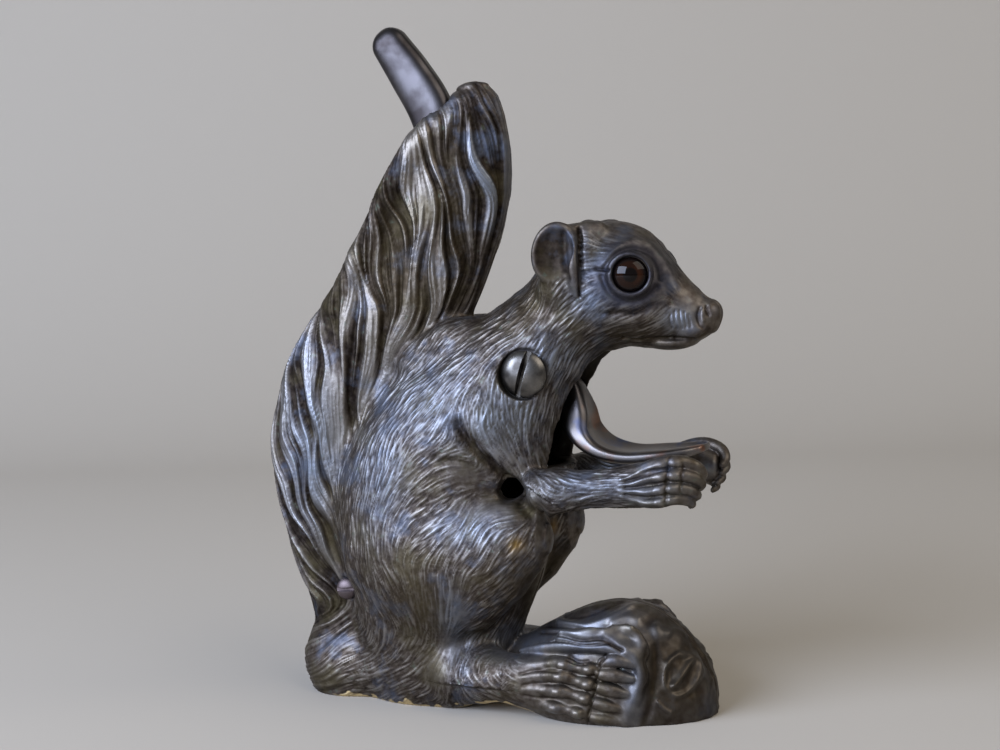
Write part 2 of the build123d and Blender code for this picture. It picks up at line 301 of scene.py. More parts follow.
@dataclass(frozen=True)
class Ring(Solid):
    """A ring round an axis: centre, the axis's swing forward of straight out, its radius and thickness."""

    centre: tuple[float, float, float]
    swing: float
    radius: float
    thick: float
    margin: float = 3.0

    def box(self) -> tuple[Array, Array]:
        """Lowest and highest corner of a ball round the ring."""
        reach = self.radius + self.thick
        return np.array(self.centre) - reach, np.array(self.centre) + reach

    def exact(self, p: Array) -> Array:
        """Distance to a circle less the thickness."""
        a = math.radians(self.swing)
        axis = np.array([math.sin(a), math.cos(a), 0.0], np.float32)
        offset = p - np.array(self.centre, np.float32)
        height = offset @ axis
        spread = np.linalg.norm(offset - height[:, None] * axis, axis=1)
        return np.hypot(spread - self.radius, height) - self.thick


@dataclass(frozen=True)
class Member:
    """One form of the figure: its solid, the fillet that melts it into the rest, and its region."""

    solid: Solid
    fillet: float
    region: Region


TRUNK = Loft((
    Oval(-26.0, -6.0, 0, 22.0, 14.0), Oval(-25.0, 8.0, 0, 25.5, 19.0), Oval(-24.0, 20.0, 0, 28.0, 21.0),
    Oval(-21.5, 45.0, 0, 35.0, 25.5), Oval(-21.0, 68.0, 0, 38.0, 26.5), Oval(-9.0, 91.0, -18, 36.0, 25.0),
    Oval(8.0, 109.0, -38, 25.0, 22.5), Oval(17.5, 119.5, -50, 17.5, 18.0)), 5.0, 5.0)
SKULL = Loft((
    Oval(10.0, 111.5, -44, 18.0, 18.0), Oval(19.5, 122.0, -55, 17.8, 17.8),
    Oval(30.0, 133.5, -70, 19.8, 17.3),
    Oval(41.0, 138.3, -82, 20.3, 18.2), Oval(51.0, 136.5, -90, 18.6, 16.2),
    Oval(60.0, 131.5, -90, 12.8, 11.0),
    Oval(67.0, 128.4, -90, 8.4, 7.2), Oval(71.0, 127.7, -90, 5.4, 4.8)), 5.0, 3.2)
TAIL = Loft((
    Oval(-55.0, -6.0, 0, 12.0, 11.5), Oval(-57.5, 10.0, 0, 16.0, 12.0), Oval(-57.5, 26.0, 0, 12.3, 8.8),
    Oval(-62.0, 50.0, 4, 15.0, 11.0), Oval(-65.0, 77.0, -4, 18.0, 11.5), Oval(-60.0, 98.0, -16, 20.5, 11.5),
    Oval(-48.0, 116.0, -30, 22.0, 11.5), Oval(-32.5, 133.0, -24, 22.0, 11.0),
    Oval(-22.5, 151.0, -14, 21.5, 10.5),
    Oval(-15.5, 168.0, -8, 20.0, 10.0), Oval(-11.5, 183.0, -5, 17.0, 9.5), Oval(-9.5, 193.0, 2, 13.2, 8.5),
    Oval(-8.0, 199.0, 5, 9.6, 6.8), Oval(-6.8, 202.2, 8, 5.6, 4.4)), 5.0, 2.2)
THIGH = Loft((
    Oval(-45.0, 50.0, -90, 12.0, 8.0, 13.0), Oval(-35.0, 50.0, -90, 22.0, 12.0, 14.5),
    Oval(-18.0, 48.5, -90, 26.0, 13.8, 15.5), Oval(0.0, 50.5, -90, 22.0, 12.3, 17.0),
    Oval(12.0, 55.0, -90, 16.0, 10.3, 17.5), Oval(19.0, 57.5, -90, 9.0, 7.0, 17.5),
    Oval(20.8, 58.0, -90, 5.0, 4.5, 17.5)), 6.0, 1.5)
SHIN = Loft((
    Oval(6.0, 56.0, 0, 13.5, 9.0, 17.5), Oval(5.5, 45.0, 0, 13.0, 8.6, 18.0),
    Oval(1.5, 33.0, 0, 11.0, 7.6, 18.0),
    Oval(-2.5, 22.0, 0, 9.5, 7.0, 17.5), Oval(-3.5, 10.0, 0, 10.5, 7.0, 17.0)), 5.0, 5.0)
FOOT = Loft((
    Oval(-13.0, 10.0, -90, 7.5, 5.5, 16.5), Oval(2.0, 11.5, -90, 8.5, 6.6, 18.0),
    Oval(12.0, 11.5, -90, 8.6, 6.4, 19.0), Oval(24.0, 11.5, -90, 10.5, 5.0, 19.8),
    Oval(36.0, 11.0, -90, 11.5, 4.0, 20.0), Oval(46.0, 10.5, -90, 10.5, 3.0, 19.0)), 4.0, 2.0)
NUT = Loft((
    Oval(-5.0, 2.0, -90, 14.0, 9.0), Oval(8.0, 2.0, -90, 21.0, 12.0), Oval(20.0, 2.0, -90, 27.5, 17.0),
    Oval(32.0, 2.0, -90, 32.4, 20.5), Oval(42.0, 2.0, -90, 33.8, 21.0), Oval(52.0, 2.0, -90, 31.3, 20.5),
    Oval(61.0, 2.0, -90, 24.6, 17.0), Oval(67.0, 2.0, -90, 16.5, 12.0),
    Oval(69.6, 2.0, -90, 10.0, 8.0)), 4.0, 1.6)
UPPER_ARM = Loft((
    Oval(8.0, 103.0, -15, 13.0, 5.0, 17.0), Oval(12.0, 91.0, -15, 13.3, 6.3, 19.0),
    Oval(18.0, 80.0, -20, 10.5, 6.3, 19.5), Oval(22.0, 73.0, -30, 7.0, 5.5, 19.5)), 4.0, 3.0)
FOREARM = Loft((
    Oval(19.0, 73.5, -90, 5.0, 4.5, 19.5), Oval(24.0, 74.0, -90, 7.0, 5.8, 19.8),
    Oval(35.0, 74.8, -90, 6.0, 5.4, 19.5), Oval(45.0, 75.6, -90, 6.4, 4.8, 19.3),
    Oval(53.0, 76.6, -90, 7.2, 4.6, 19.0), Oval(62.0, 77.3, -90, 6.6, 4.2, 18.0),
    Oval(67.5, 77.5, -90, 4.6, 3.4, 17.2)), 3.0, 2.0)

FINGERS = (
    Tube(((50.5, 20.0, 79.8, 1.6), (54.5, 21.4, 82.3, 1.9), (59.8, 21.9, 83.9, 2.2), (64.8, 20.6, 84.4, 2.1),
          (69.6, 18.6, 82.9, 1.9), (71.4, 16.4, 80.2, 1.6), (70.6, 14.6, 78.4, 1.1))),
    Tube(((50.5, 21.6, 77.4, 1.5), (54.5, 22.4, 79.2, 1.6), (59.6, 23.4, 80.1, 2.2), (64.3, 22.4, 80.6, 2.0),
          (69.0, 20.2, 79.6, 1.9), (71.2, 17.6, 77.4, 1.6), (70.4, 15.4, 75.6, 1.1))),
    Tube(((50.5, 21.8, 75.2, 1.5), (54.5, 22.6, 75.1, 1.6), (59.4, 23.6, 76.1, 2.2), (63.8, 22.5, 76.5, 2.0),
          (67.8, 20.2, 75.6, 1.8), (69.8, 17.6, 73.8, 1.5), (69.0, 15.6, 72.4, 1.0))),
    Tube(((50.5, 20.6, 72.2, 1.6), (54.8, 21.6, 71.6, 1.8), (59.4, 22.4, 72.2, 2.1), (63.2, 21.4, 72.9, 1.9),
          (66.6, 19.2, 72.2, 1.7), (68.0, 17.2, 70.8, 1.4), (67.2, 15.6, 69.8, 0.9))),
)
TOES = (
    Tube(((20.0, 21.0, 18.0, 2.2), (24.5, 22.9, 19.3, 2.2), (28.0, 24.2, 19.4, 2.1), (32.0, 23.9, 18.4, 1.5),
          (35.6, 24.2, 18.4, 2.1), (37.8, 23.8, 18.4, 1.5))),
    Tube(((18.0, 21.6, 14.4, 2.4), (23.0, 23.9, 15.6, 2.3), (27.0, 25.0, 15.8, 2.3), (31.4, 24.4, 14.4, 1.6),
          (35.2, 24.8, 13.8, 2.2), (37.2, 24.3, 13.6, 1.6))),
    Tube(((16.0, 21.6, 9.8, 2.4), (21.5, 23.8, 10.8, 2.3), (26.0, 25.1, 11.0, 2.3), (30.6, 24.6, 10.0, 1.6),
          (34.4, 24.9, 9.2, 2.2), (36.2, 24.4, 9.0, 1.6))),
    Tube(((15.0, 20.8, 5.6, 2.3), (20.5, 22.8, 5.9, 2.2), (24.6, 24.3, 5.4, 2.2), (28.4, 24.0, 4.8, 1.6),
          (31.8, 24.3, 4.2, 2.1), (34.0, 23.8, 4.0, 1.5))),
    Tube(((40.2, 23.9, 20.6, 1.9), (44.5, 23.6, 21.4, 2.1), (49.0, 22.0, 20.2, 1.6))),
    Tube(((40.0, 24.6, 17.2, 2.1), (44.0, 24.4, 16.9, 2.2), (49.0, 22.6, 15.6, 1.4))),
    Tube(((39.4, 24.7, 12.8, 2.1), (43.4, 24.4, 11.9, 2.1), (47.6, 22.8, 10.6, 1.3))),
    Tube(((37.6, 24.4, 7.9, 2.0), (41.4, 24.2, 6.9, 2.0), (45.6, 22.8, 5.7, 1.3))),
    Tube(((35.6, 23.6, 3.0, 1.7), (40.0, 23.4, 2.4, 1.9), (45.0, 22.4, 1.9, 1.4))),
)
HUSK = (
    Tube(((26.0, 18.6, 26.4, 2.6), (33.0, 19.4, 27.4, 3.0), (41.0, 19.0, 27.4, 3.0),
          (46.0, 18.6, 25.6, 2.6))),
    Tube(((10.0, 14.6, 20.6, 0.6), (17.0, 18.4, 22.6, 1.5), (24.5, 20.2, 24.2, 2.2), (30.0, 21.2, 25.2, 2.4),
          (36.0, 21.6, 25.6, 2.4), (42.5, 21.6, 25.0, 2.4), (48.2, 21.2, 23.4, 2.3), (51.6, 21.0, 20.0, 2.2),
          (51.8, 21.2, 14.8, 2.1), (49.6, 21.6, 9.4, 1.9), (47.6, 21.8, 4.4, 1.8), (46.4, 21.4, 0.0, 1.8))),
    Pebble((50.0, 18.2, 23.8), (3.4, 3.0, 3.4)),
    Tube(((43.0, 17.4, 29.2, 2.2), (48.0, 17.6, 29.6, 1.8), (51.4, 18.2, 27.0, 1.5),
          (52.4, 19.4, 23.0, 1.6))),
)
NAPE = Tube(((-26.0, 6.5, 113.0, 7.0), (-15.0, 7.0, 119.0, 8.0), (-7.0, 7.0, 121.5, 7.0)), 6.0)
SKIRT = Tube(((-60.0, 1.5, 8.0, 9.5), (-50.0, 3.0, 9.0, 10.0), (-42.0, 5.0, 10.0, 10.0)), 6.0)
SLOT_LIP = Tube((
    (-19.8, 6.2, 190.4, 2.0), (-23.6, 6.6, 185.6, 3.2), (-29.6, 6.7, 178.0, 3.8), (-35.4, 6.7, 168.6, 4.0),
    (-39.6, 6.7, 159.0, 4.0), (-44.2, 6.7, 150.0, 4.0), (-49.8, 6.7, 141.4, 3.8),
    (-55.6, 6.6, 132.0, 3.4)), 7.0)
TEMPLE = Pebble((34.9, 10.9, 146.5), (4.6, 6.6, 11.0))
ARMPIT = Pebble((8.8, 17.0, 73.8), (3.3, 11.0, 4.0), lean=-28.0)
EAR = Pebble((25.4, 17.6, 149.0), (7.4, 3.6, 9.9), lean=-10.0, swing=-14.0)
EAR_CUP = Pebble((25.8, 20.9, 149.4), (6.3, 3.0, 8.7), lean=-10.0, swing=-14.0)
EAR_BASE = Pebble((25.4, 14.6, 138.4), (6.4, 4.6, 6.4), lean=-14.0)
CROWN = Tube(((27.4, 15.2, 155.2, 2.2), (31.6, 12.6, 155.7, 2.6), (37.0, 9.4, 155.6, 3.2)))
EAR_ROOT = Tube((
    (30.6, 18.2, 153.0, 1.8), (31.4, 18.8, 147.0, 2.3), (31.9, 18.6, 141.0, 2.2), (32.8, 17.4, 136.4, 1.3)))
LIDS = Ring((49.6, 16.8, 142.2), 12.0, 6.2, 1.15)
NOSE = Pebble((70.6, 1.6, 129.0), (3.7, 3.6, 3.9))
NOSTRIL_WING = Pebble((69.8, 4.3, 128.0), (1.7, 1.4, 2.5), lean=-8.0)
LIP = Pebble((66.4, 3.6, 123.8), (5.6, 4.0, 3.2), lean=18.0)
JAW = Pebble((58.4, 1.8, 120.0), (8.2, 6.0, 2.7), lean=1.0)

MEMBERS = (
    Member(TAIL, 1.2, Region.TAIL), Member(SLOT_LIP, 6.5, Region.TAIL),
    Member(TRUNK, 6.0, Region.BODY), Member(NAPE, 3.0, Region.BODY),
    Member(SKIRT, 3.0, Region.BODY), Member(SKULL, 7.0, Region.HEAD), Member(TEMPLE, 2.0, Region.HEAD),
    Member(THIGH, 3.0, Region.BODY), Member(SHIN, 9.0, Region.LEG), Member(NUT, 2.5, Region.NUT),
    Member(FOOT, 9.0, Region.LEG), Member(UPPER_ARM, 4.0, Region.ARM), Member(FOREARM, 8.0, Region.ARM),
    Member(NOSE, 1.6, Region.HEAD), Member(LIP, 2.0, Region.HEAD), Member(NOSTRIL_WING, 0.8, Region.HEAD),
    Member(JAW, 1.0, Region.HEAD), Member(EAR_BASE, 3.0, Region.HEAD), Member(EAR, 1.8, Region.HEAD),
    Member(CROWN, 2.5, Region.HEAD), Member(EAR_ROOT, 2.0, Region.HEAD),
    *(Member(finger, 0.7, Region.ARM) for finger in FINGERS),
    *(Member(husk, 1.8, Region.NUT) for husk in HUSK),
    *(Member(toe, 0.5, Region.LEG) for toe in TOES),
    Member(LIDS, 1.4, Region.HEAD),
)
FURRED = (TRUNK, NAPE, SKIRT, SKULL, TEMPLE, EAR_BASE, CROWN, THIGH, SHIN, FOOT, UPPER_ARM, FOREARM)


@dataclass(frozen=True)
class Mechanism:
    """The places that the lever and the screws need, as the CAD pieces have them."""

    pivot_x: float = 15.0
    pivot_z: float = 111.0
    swing: float = 33.0
    swing_gap: float = 1.4
    bay_half: float = 5.2
    chest_back: float = 12.0
    chest_front: float = 50.0
    chest_floor: float = 80.3
    chest_half: float = 13.1
    chest_wide: float = 93.0
    chest_neck: float = 107.0
    chest_neck_half: float = 9.0
    chest_top: float = 117.0
    screw_seat: float = 19.2
    screw_recess: float = 8.1
    tail_screw_x: float = -53.0
    tail_screw_z: float = 37.0
    tail_screw_seat: float = 10.2
    tail_screw_recess: float = 4.0
    eye_x: float = 49.0
    eye_out: float = 14.0
    eye_z: float = 142.0
    eye_forward: float = 12.0
    eye_radius: float = 5.4
    wall: float = 4.0
    nut_wall: float = 5.0


MECHANISM = Mechanism()
# The arm's middle line and half width, and the tray's with half thickness and half breadth: (x, z, ...).
ARM_STATIONS = np.array([
    [-35.0, 217.4, 6.1], [-28.2, 207.4, 7.1], [-21.4, 195.5, 7.5], [-18.0, 181.0, 6.8], [-18.5, 164.0, 6.0],
    [-20.5, 148.0, 6.0], [-22.5, 132.0, 6.2], [-16.5, 118.5, 6.6], [-4.0, 110.5, 7.2], [15.0, 111.0, 7.5]])
TRAY_STATIONS = np.array([
    [16.0, 110.0, 7.0, 4.5], [22.0, 104.0, 6.5, 4.5], [26.5, 97.0, 5.5, 7.6], [29.2, 90.6, 4.2, 10.6],
    [35.0, 85.8, 3.0, 12.0], [44.0, 83.6, 2.5, 12.0], [55.0, 84.3, 2.3, 11.2], [63.0, 85.3, 2.0, 9.0],
    [67.5, 86.2, 1.5, 6.5]])


def swept_distance(x: Array, z: Array) -> Array:
    """Distance to the side view of the space that the lever's arm sweeps.

    The arm is turned about the pivot in steps of a few degrees.  At each step the distance is that to its
    middle line less its half width and the swing gap, and the least of them counts.

    Args:
        x: Places along X.
        z: Places along Z.

    Returns:
        Millimetres, negative in the swept space.
    """
    m = MECHANISM
    middle = through(ARM_STATIONS, 2)
    points = np.stack([x, z], axis=1)
    best = np.full(len(x), FAR, np.float32)
    for turn in np.radians(np.linspace(0.0, m.swing, 9)):
        c, s = math.cos(turn), math.sin(turn)
        dx, dz = middle[:, 0] - m.pivot_x, middle[:, 1] - m.pivot_z
        line = np.stack([m.pivot_x + c * dx - s * dz, m.pivot_z + s * dx + c * dz], axis=1)
        gap, along = polyline_distance(points, line)
        best = np.minimum(best, gap - np.interp(along, np.arange(len(line)), middle[:, 2]))
    return best - m.swing_gap


class Casting:
    """The signed-distance field of one half casting, without its fur."""

    low = (-87.0, -1.0, -1.2)
    high = (76.5, 31.5, 206.5)
    arch_x = 5.0
    arch_half = 9.0
    arch_height = 5.0
    hollow_top = 103.0          # of the body's hollow at x = 0, with a rise of 1 in 2 forwards
    nut_back = 20.0

    def skin(self, p: Array) -> Array:
        """Distance to the figure's outer skin, all members melted together.

        Args:
            p: Points (x, out, z), one a row.

        Returns:
            Millimetres, negative inside.
        """
        result = np.full(len(p), FAR, np.float32)
        for member in MEMBERS:
            result = melt(result, member.solid.distance(p), member.fillet)
        result = carve(result, EAR_CUP.distance(p), 1.2)
        result = carve(result, ARMPIT.distance(p), 1.6)
        return result

    def owners(self, p: Array) -> Array:
        """The region of each point: that of the member whose surface is nearest.

        Args:
            p: Points on the skin, one a row.

        Returns:
            Region values, as whole numbers.
        """
        best = np.full(len(p), FAR, np.float32)
        owner = np.zeros(len(p), np.int32)
        for member in MEMBERS:
            gap = member.solid.distance(p)
            nearer = gap < best
            best = np.where(nearer, gap, best)
            owner = np.where(nearer, member.region.value, owner)
        return owner

    def cuts(self, p: Array) -> Array:
        """Distance to what is cut away: below the base, across the parting, the bay, chest and socket.

        Args:
            p: Points (x, out, z), one a row.

        Returns:
            Millimetres, negative in the space cut away.
        """
        m = MECHANISM
        x, out, z = p[:, 0], p[:, 1], p[:, 2]
        bay = np.full(len(p), FAR, np.float32)
        near = (out < m.bay_half + 3.0) & (x < m.pivot_x + 20.0) & (z > m.chest_wide - 1.0)
        bay[near] = np.maximum(out[near] - m.bay_half, swept_distance(x[near], z[near]))
        half = np.interp(z, (m.chest_floor, m.chest_wide, m.chest_neck, m.chest_top),
                         (m.chest_half, m.chest_half, m.chest_neck_half, m.bay_half))
        chest = np.maximum.reduce([out - half, m.chest_floor - z, z - m.chest_top,
                                   m.chest_back - x, x - m.chest_front])
        a = math.radians(m.eye_forward)
        dx, dy, dz = x - m.eye_x, out - m.eye_out, z - m.eye_z
        height = dx * math.sin(a) + dy * math.cos(a)
        across = dx * math.cos(a) - dy * math.sin(a)
        socket = np.maximum(np.hypot(across, dz) - m.eye_radius - 0.1, -height)
        return np.minimum(melt(bay, chest, 1.5), socket)

    def hollow(self, p: Array) -> Array:
        """Distance to the hollows of the body and the nut, open below.

        Args:
            p: Points (x, out, z), one a row.

        Returns:
            Millimetres, negative in the hollows.
        """
        m = MECHANISM
        body = np.maximum(TRUNK.distance(p) + m.wall, p[:, 2] - 0.5 * p[:, 0] - self.hollow_top)
        nut = np.maximum(NUT.distance(p) + m.nut_wall, self.nut_back - p[:, 0])
        return np.minimum(body, nut)

    def ground(self, p: Array) -> Array:
        """Height of the casting's foot: 0, but for an arch, h exp(-((x - a) / b)^2), by the ankle."""
        arch = self.arch_height * np.exp(-((p[:, 0] - self.arch_x) / self.arch_half) ** 2)
        return arch * smoothstep(p[:, 1], 5.0, 12.0)

    def solid(self, p: Array) -> Array:
        """Distance to the whole half casting: skin, less the cuts, on its side of parting and base."""
        body = carve(self.skin(p), self.cuts(p), 0.9)
        body = carve(body, self.hollow(p), 0.8)
        body = carve(body, p[:, 1], 0.9)
        return carve(body, p[:, 2] - self.ground(p), 0.6)


# ---------------------------------------------------------------- meshing a field

@dataclass
class Mesh:
    """A mesh while it is being worked on: points (x, out, z), and quads of point numbers."""

    points: Array
    quads: Array

    def normals(self) -> Array:
        """Unit normals at the points, each the sum of its quads' crossed diagonals."""
        corners = self.points[self.quads]
        cross = np.cross(corners[:, 2] - corners[:, 0], corners[:, 3] - corners[:, 1])
        total = np.zeros_like(self.points)
        for axis in range(3):
            for corner in range(4):
                total[:, axis] += np.bincount(self.quads[:, corner], cross[:, axis], len(self.points))
        return total / np.maximum(np.linalg.norm(total, axis=1, keepdims=True), 1e-9)


def lattice(*axes: Sequence[int]) -> Array:
    """All combinations of the axes' numbers, one a row, the last axis running fastest."""
    return np.stack(np.meshgrid(*axes, indexing="ij"), axis=-1).reshape(-1, len(axes))


def sample_near_surface(distance: Callable[[Array], Array], low: Array, counts: Array, cell: float) -> Array:
    """Samples a distance field on a grid, finely only where its surface is close.

    Blocks of four cells are sampled at their middles, those near the surface again in blocks of two, and
    those near it cell by cell.  Far cells keep their block's value, which has the right sign.

    Args:
        distance: The field.
        low: The grid's lowest corner.
        counts: How many samples along each axis, each a multiple of four.
        cell: Spacing of the samples.

    Returns:
        The samples, as a three-dimensional array.
    """
    volume = np.empty(counts, np.float32)
    blocks = lattice(*[np.arange(0, n, 4) for n in counts])
    for size in (4, 2, 1):
        values = distance((low + (blocks + (size - 1) / 2.0) * cell).astype(np.float32))
        for offset in lattice(*[np.arange(size)] * 3):
            volume[tuple((blocks + offset).T)] = values
        if size > 1:
            close = np.abs(values) < size * cell * 1.35
            corners = lattice(*[(0, size // 2)] * 3)
            blocks = (blocks[close][:, None, :] + corners[None]).reshape(-1, 3)
    return volume


def surface_nets(volume: Array, low: Array, cell: float) -> Mesh:
    """Turns a sampled field into quads: a point in each cell that the surface crosses.

    The point is the mean of the places where the surface crosses the cell's twelve edges, each found by
    a straight line between the two samples.  Each grid edge that is crossed gives one quad.

    Args:
        volume: The samples.
        low: The place of the first sample.
        cell: Spacing of the samples.

    Returns:
        The mesh, its faces pointing outwards.
    """
    inside = volume < 0.0
    core = inside[:-1, :-1, :-1]
    mixed = np.zeros_like(core)
    shifts = [(i, j, k) for i in (0, 1) for j in (0, 1) for k in (0, 1)]
    nx, ny, nz = core.shape
    for i, j, k in shifts[1:]:
        mixed |= inside[i:i + nx, j:j + ny, k:k + nz] != core
    where = np.argwhere(mixed).astype(np.int32)
    corner = np.stack([volume[tuple((where + shift).T)] for shift in shifts], axis=1)
    total = np.zeros((len(where), 3), np.float32)
    count = np.zeros((len(where), 1), np.float32)
    for a, start in enumerate(shifts):
        for axis in range(3):
            if start[axis]:
                continue
            end = list(start)
            end[axis] = 1
            b = shifts.index(tuple(end))
            crossed = (corner[:, a] < 0) != (corner[:, b] < 0)
            span = corner[:, a] - corner[:, b]
            t = np.where(crossed, corner[:, a] / np.where(crossed, span, 1.0), 0.0)
            place = np.tile(np.array(start, np.float32), (len(where), 1))
            place[:, axis] = t
            total += place * crossed[:, None]
            count += crossed[:, None]
    points = low + (where + total / count) * cell
    number = np.full(core.shape, -1, np.int32)
    number[tuple(where.T)] = np.arange(len(where), dtype=np.int32)
    quads = []
    for axis in range(3):
        here = [slice(1, -1)] * 3
        ahead = [slice(1, -1)] * 3
        here[axis] = slice(0, -1)
        ahead[axis] = slice(1, None)
        from_inside = inside[tuple(here)] & ~inside[tuple(ahead)]
        from_outside = ~inside[tuple(here)] & inside[tuple(ahead)]
        u, v = [a for a in range(3) if a != axis]
        step_u, step_v = np.eye(3, dtype=np.int32)[u], np.eye(3, dtype=np.int32)[v]
        offset = np.ones(3, np.int32)
        offset[axis] = 0
        for flags, flip in ((from_inside, axis == 1), (from_outside, axis != 1)):
            at = np.argwhere(flags).astype(np.int32) + offset
            ring = [at - step_u - step_v, at - step_v, at, at - step_u]
            quad = np.stack([number[tuple(r.T)] for r in ring], axis=1)
            quads.append(quad[:, ::-1] if flip else quad)
    faces = np.concatenate(quads)
    return Mesh(points.astype(np.float32), faces[(faces >= 0).all(axis=1)])


# ---------------------------------------------------------------- fur

# How the fur lies: places (x, z) and the way its strands run there, in degrees from +X towards +Z.
GROOM = (
    # tail
    (-8, 204, -50), (-1, 198, -68), (-8, 197, -66), (-14, 197, -64), (-21, 191, -78), (-11, 191, -75),
    (0, 190, -76), (-28, 184, -90), (-18, 184, -84), (-8, 184, -86), (2, 184, -80), (-35, 171, -84),
    (-26, 171, -80), (-16, 171, -86), (-7, 171, -68), (-1, 172, -60), (6, 171, -92), (-35, 163, -70),
    (-20, 163, -80), (-6, 163, -86), (2, 160, -94), (-43, 151, -80), (-34, 151, -76), (-24, 151, -95),
    (-13, 151, -92), (-3, 151, -98), (-50, 138, -84), (-42, 138, -76), (-32, 138, -91), (-20, 138, -92),
    (-10, 137, -106), (-57, 125, -86), (-48, 125, -90), (-38, 125, -99), (-28, 124, -108), (-18, 122, -126),
    (-64, 111, -80), (-55, 111, -83), (-72, 98, -75), (-63, 98, -78), (-72, 85, -73), (-63, 85, -76),
    (-72, 71, -64), (-63, 71, -78), (-70, 58, -50), (-63, 58, -58), (-63, 45, -48), (-63, 37, -40),
    # base, below the tail and round the rump
    (-66, 22, -148), (-60, 18, -153), (-52, 24, -150), (-46, 18, -158), (-46, 11, -162), (-60, 8, -160),
    (-39, 24, -112), (-38, 18, -146), (-38, 11, -155), (-30, 11, -145), (-30, 20, -122), (-24, 5, -152),
    (-20, 18, -134), (-18, 10, -120), (-18, 27, -104),
    # back and belly
    (-46, 111, -99), (-39, 111, -108), (-32, 111, -124), (-25, 111, -139), (-18, 118, -140), (-11, 118, -142),
    (-4, 118, -137), (3, 118, -132), (-18, 111, -138), (-11, 110, -132), (-4, 110, -126), (-46, 98, -100),
    (-39, 98, -122), (-32, 98, -128), (-25, 98, -131), (-18, 98, -131), (-11, 98, -124), (-46, 85, -106),
    (-39, 85, -107), (-32, 85, -104), (-25, 85, -115), (-50, 71, -94), (-42, 71, -105), (-34, 71, -109),
    (-26, 71, -122), (-46, 58, -84), (-38, 58, -86), (-31, 58, -92), (-25, 58, -112), (-50, 45, -74),
    (-40, 45, -74), (-32, 45, -62), (-25, 45, -68), (-18, 45, -82), (-39, 34, -68), (-32, 34, -66),
    (-25, 34, -74), (-18, 34, -87),
    # haunch, its swirl, and the lower leg
    (-18, 85, -146), (-11, 85, -158), (-4, 84, -190), (-18, 78, -145), (-11, 78, -149), (-5, 77, -172),
    (3, 76, -205), (-18, 71, -147), (-11, 71, -147), (-18, 64, -158), (-11, 64, -143), (-4, 66, -118),
    (3, 65, -135), (10, 66, -165), (-18, 58, -145), (-11, 58, -124), (-4, 58, -112), (3, 58, -122),
    (10, 58, -124), (17, 58, -122), (-11, 51, -116), (-4, 51, -118), (3, 51, -128), (10, 51, -140),
    (17, 51, -140), (-11, 44, -92), (-4, 45, -106), (3, 45, -145), (10, 45, -138), (-11, 34, -98),
    (-4, 36, -136), (3, 36, -146), (9, 36, -138), (-4, 26, -134), (3, 26, -150), (9, 26, -150),
    (-10, 17, -100), (-4, 16, -96), (2, 17, -112), (-8, 11, -60), (-2, 11, -33), (4, 11, -30), (10, 11, -18),
    (17, 17, 4), (17, 10, -6), (10, 5, -28), (17, 5, -25),
    # shoulder and arm
    (3, 104, -100), (9, 98, -80), (2, 98, -90), (16, 100, -98), (24, 99, -105), (31, 98, -98), (-4, 94, -74),
    (2, 92, -62), (9, 92, -68), (17, 92, -84), (24, 92, -90), (30, 92, -88), (2, 86, -50), (9, 85, -54),
    (17, 85, -72), (24, 85, -72), (9, 79, -56), (17, 78, -64), (22, 77, -50), (28, 76, -8), (36, 76, -3),
    (45, 76, 4), (30, 71, 16), (38, 72, 10), (46, 72, 5), (28, 80, -35), (36, 80, 4), (46, 80, 8),
    # neck and head
    (-5, 125, -145), (3, 124, -146), (9, 124, -144), (16, 124, -133), (23, 124, -132), (30, 124, -144),
    (37, 124, -154), (44, 124, -156), (52, 124, -158), (58, 124, -160), (64, 125, -100), (9, 132, -130),
    (16, 132, -118), (23, 131, -120), (30, 131, -130), (37, 131, -140), (44, 131, -153), (52, 131, -160),
    (16, 138, -122), (20, 142, -112), (25, 118, -125), (31, 117, -128), (37, 117, -150), (37, 146, -170),
    (37, 154, -196), (44, 154, -190), (52, 152, -208), (58, 146, -222), (64, 138, -230), (30, 146, -150),
    (16, 111, -110), (24, 110, -120), (30, 107, -112),
)


def corner_shares(t: Array) -> Iterator[tuple[int, int, int, Array]]:
    """Goes through a cell's eight corners.

    Args:
        t: Places within their cells, from 0 to 1 along each axis, one a row.

    Yields:
        The corner's place along each axis, 0 or 1, and its share at each place.
    """
    for i in (0, 1):
        share_x = t[:, 0] if i else 1 - t[:, 0]
        for j in (0, 1):
            share_xy = share_x * (t[:, 1] if j else 1 - t[:, 1])
            for k in (0, 1):
                yield i, j, k, share_xy * (t[:, 2] if k else 1 - t[:, 2])


@dataclass(frozen=True)
class Coat:
    """One kind of fur: the size of its noise, how far it is combed, and how high it stands."""

    strand: float
    comb: float
    height: float


LOCKS = Coat(strand=1.9, comb=12.0, height=0.55)
HAIR = Coat(strand=0.7, comb=8.0, height=0.32)
FUR = Coat(strand=0.57, comb=2.1, height=0.31)


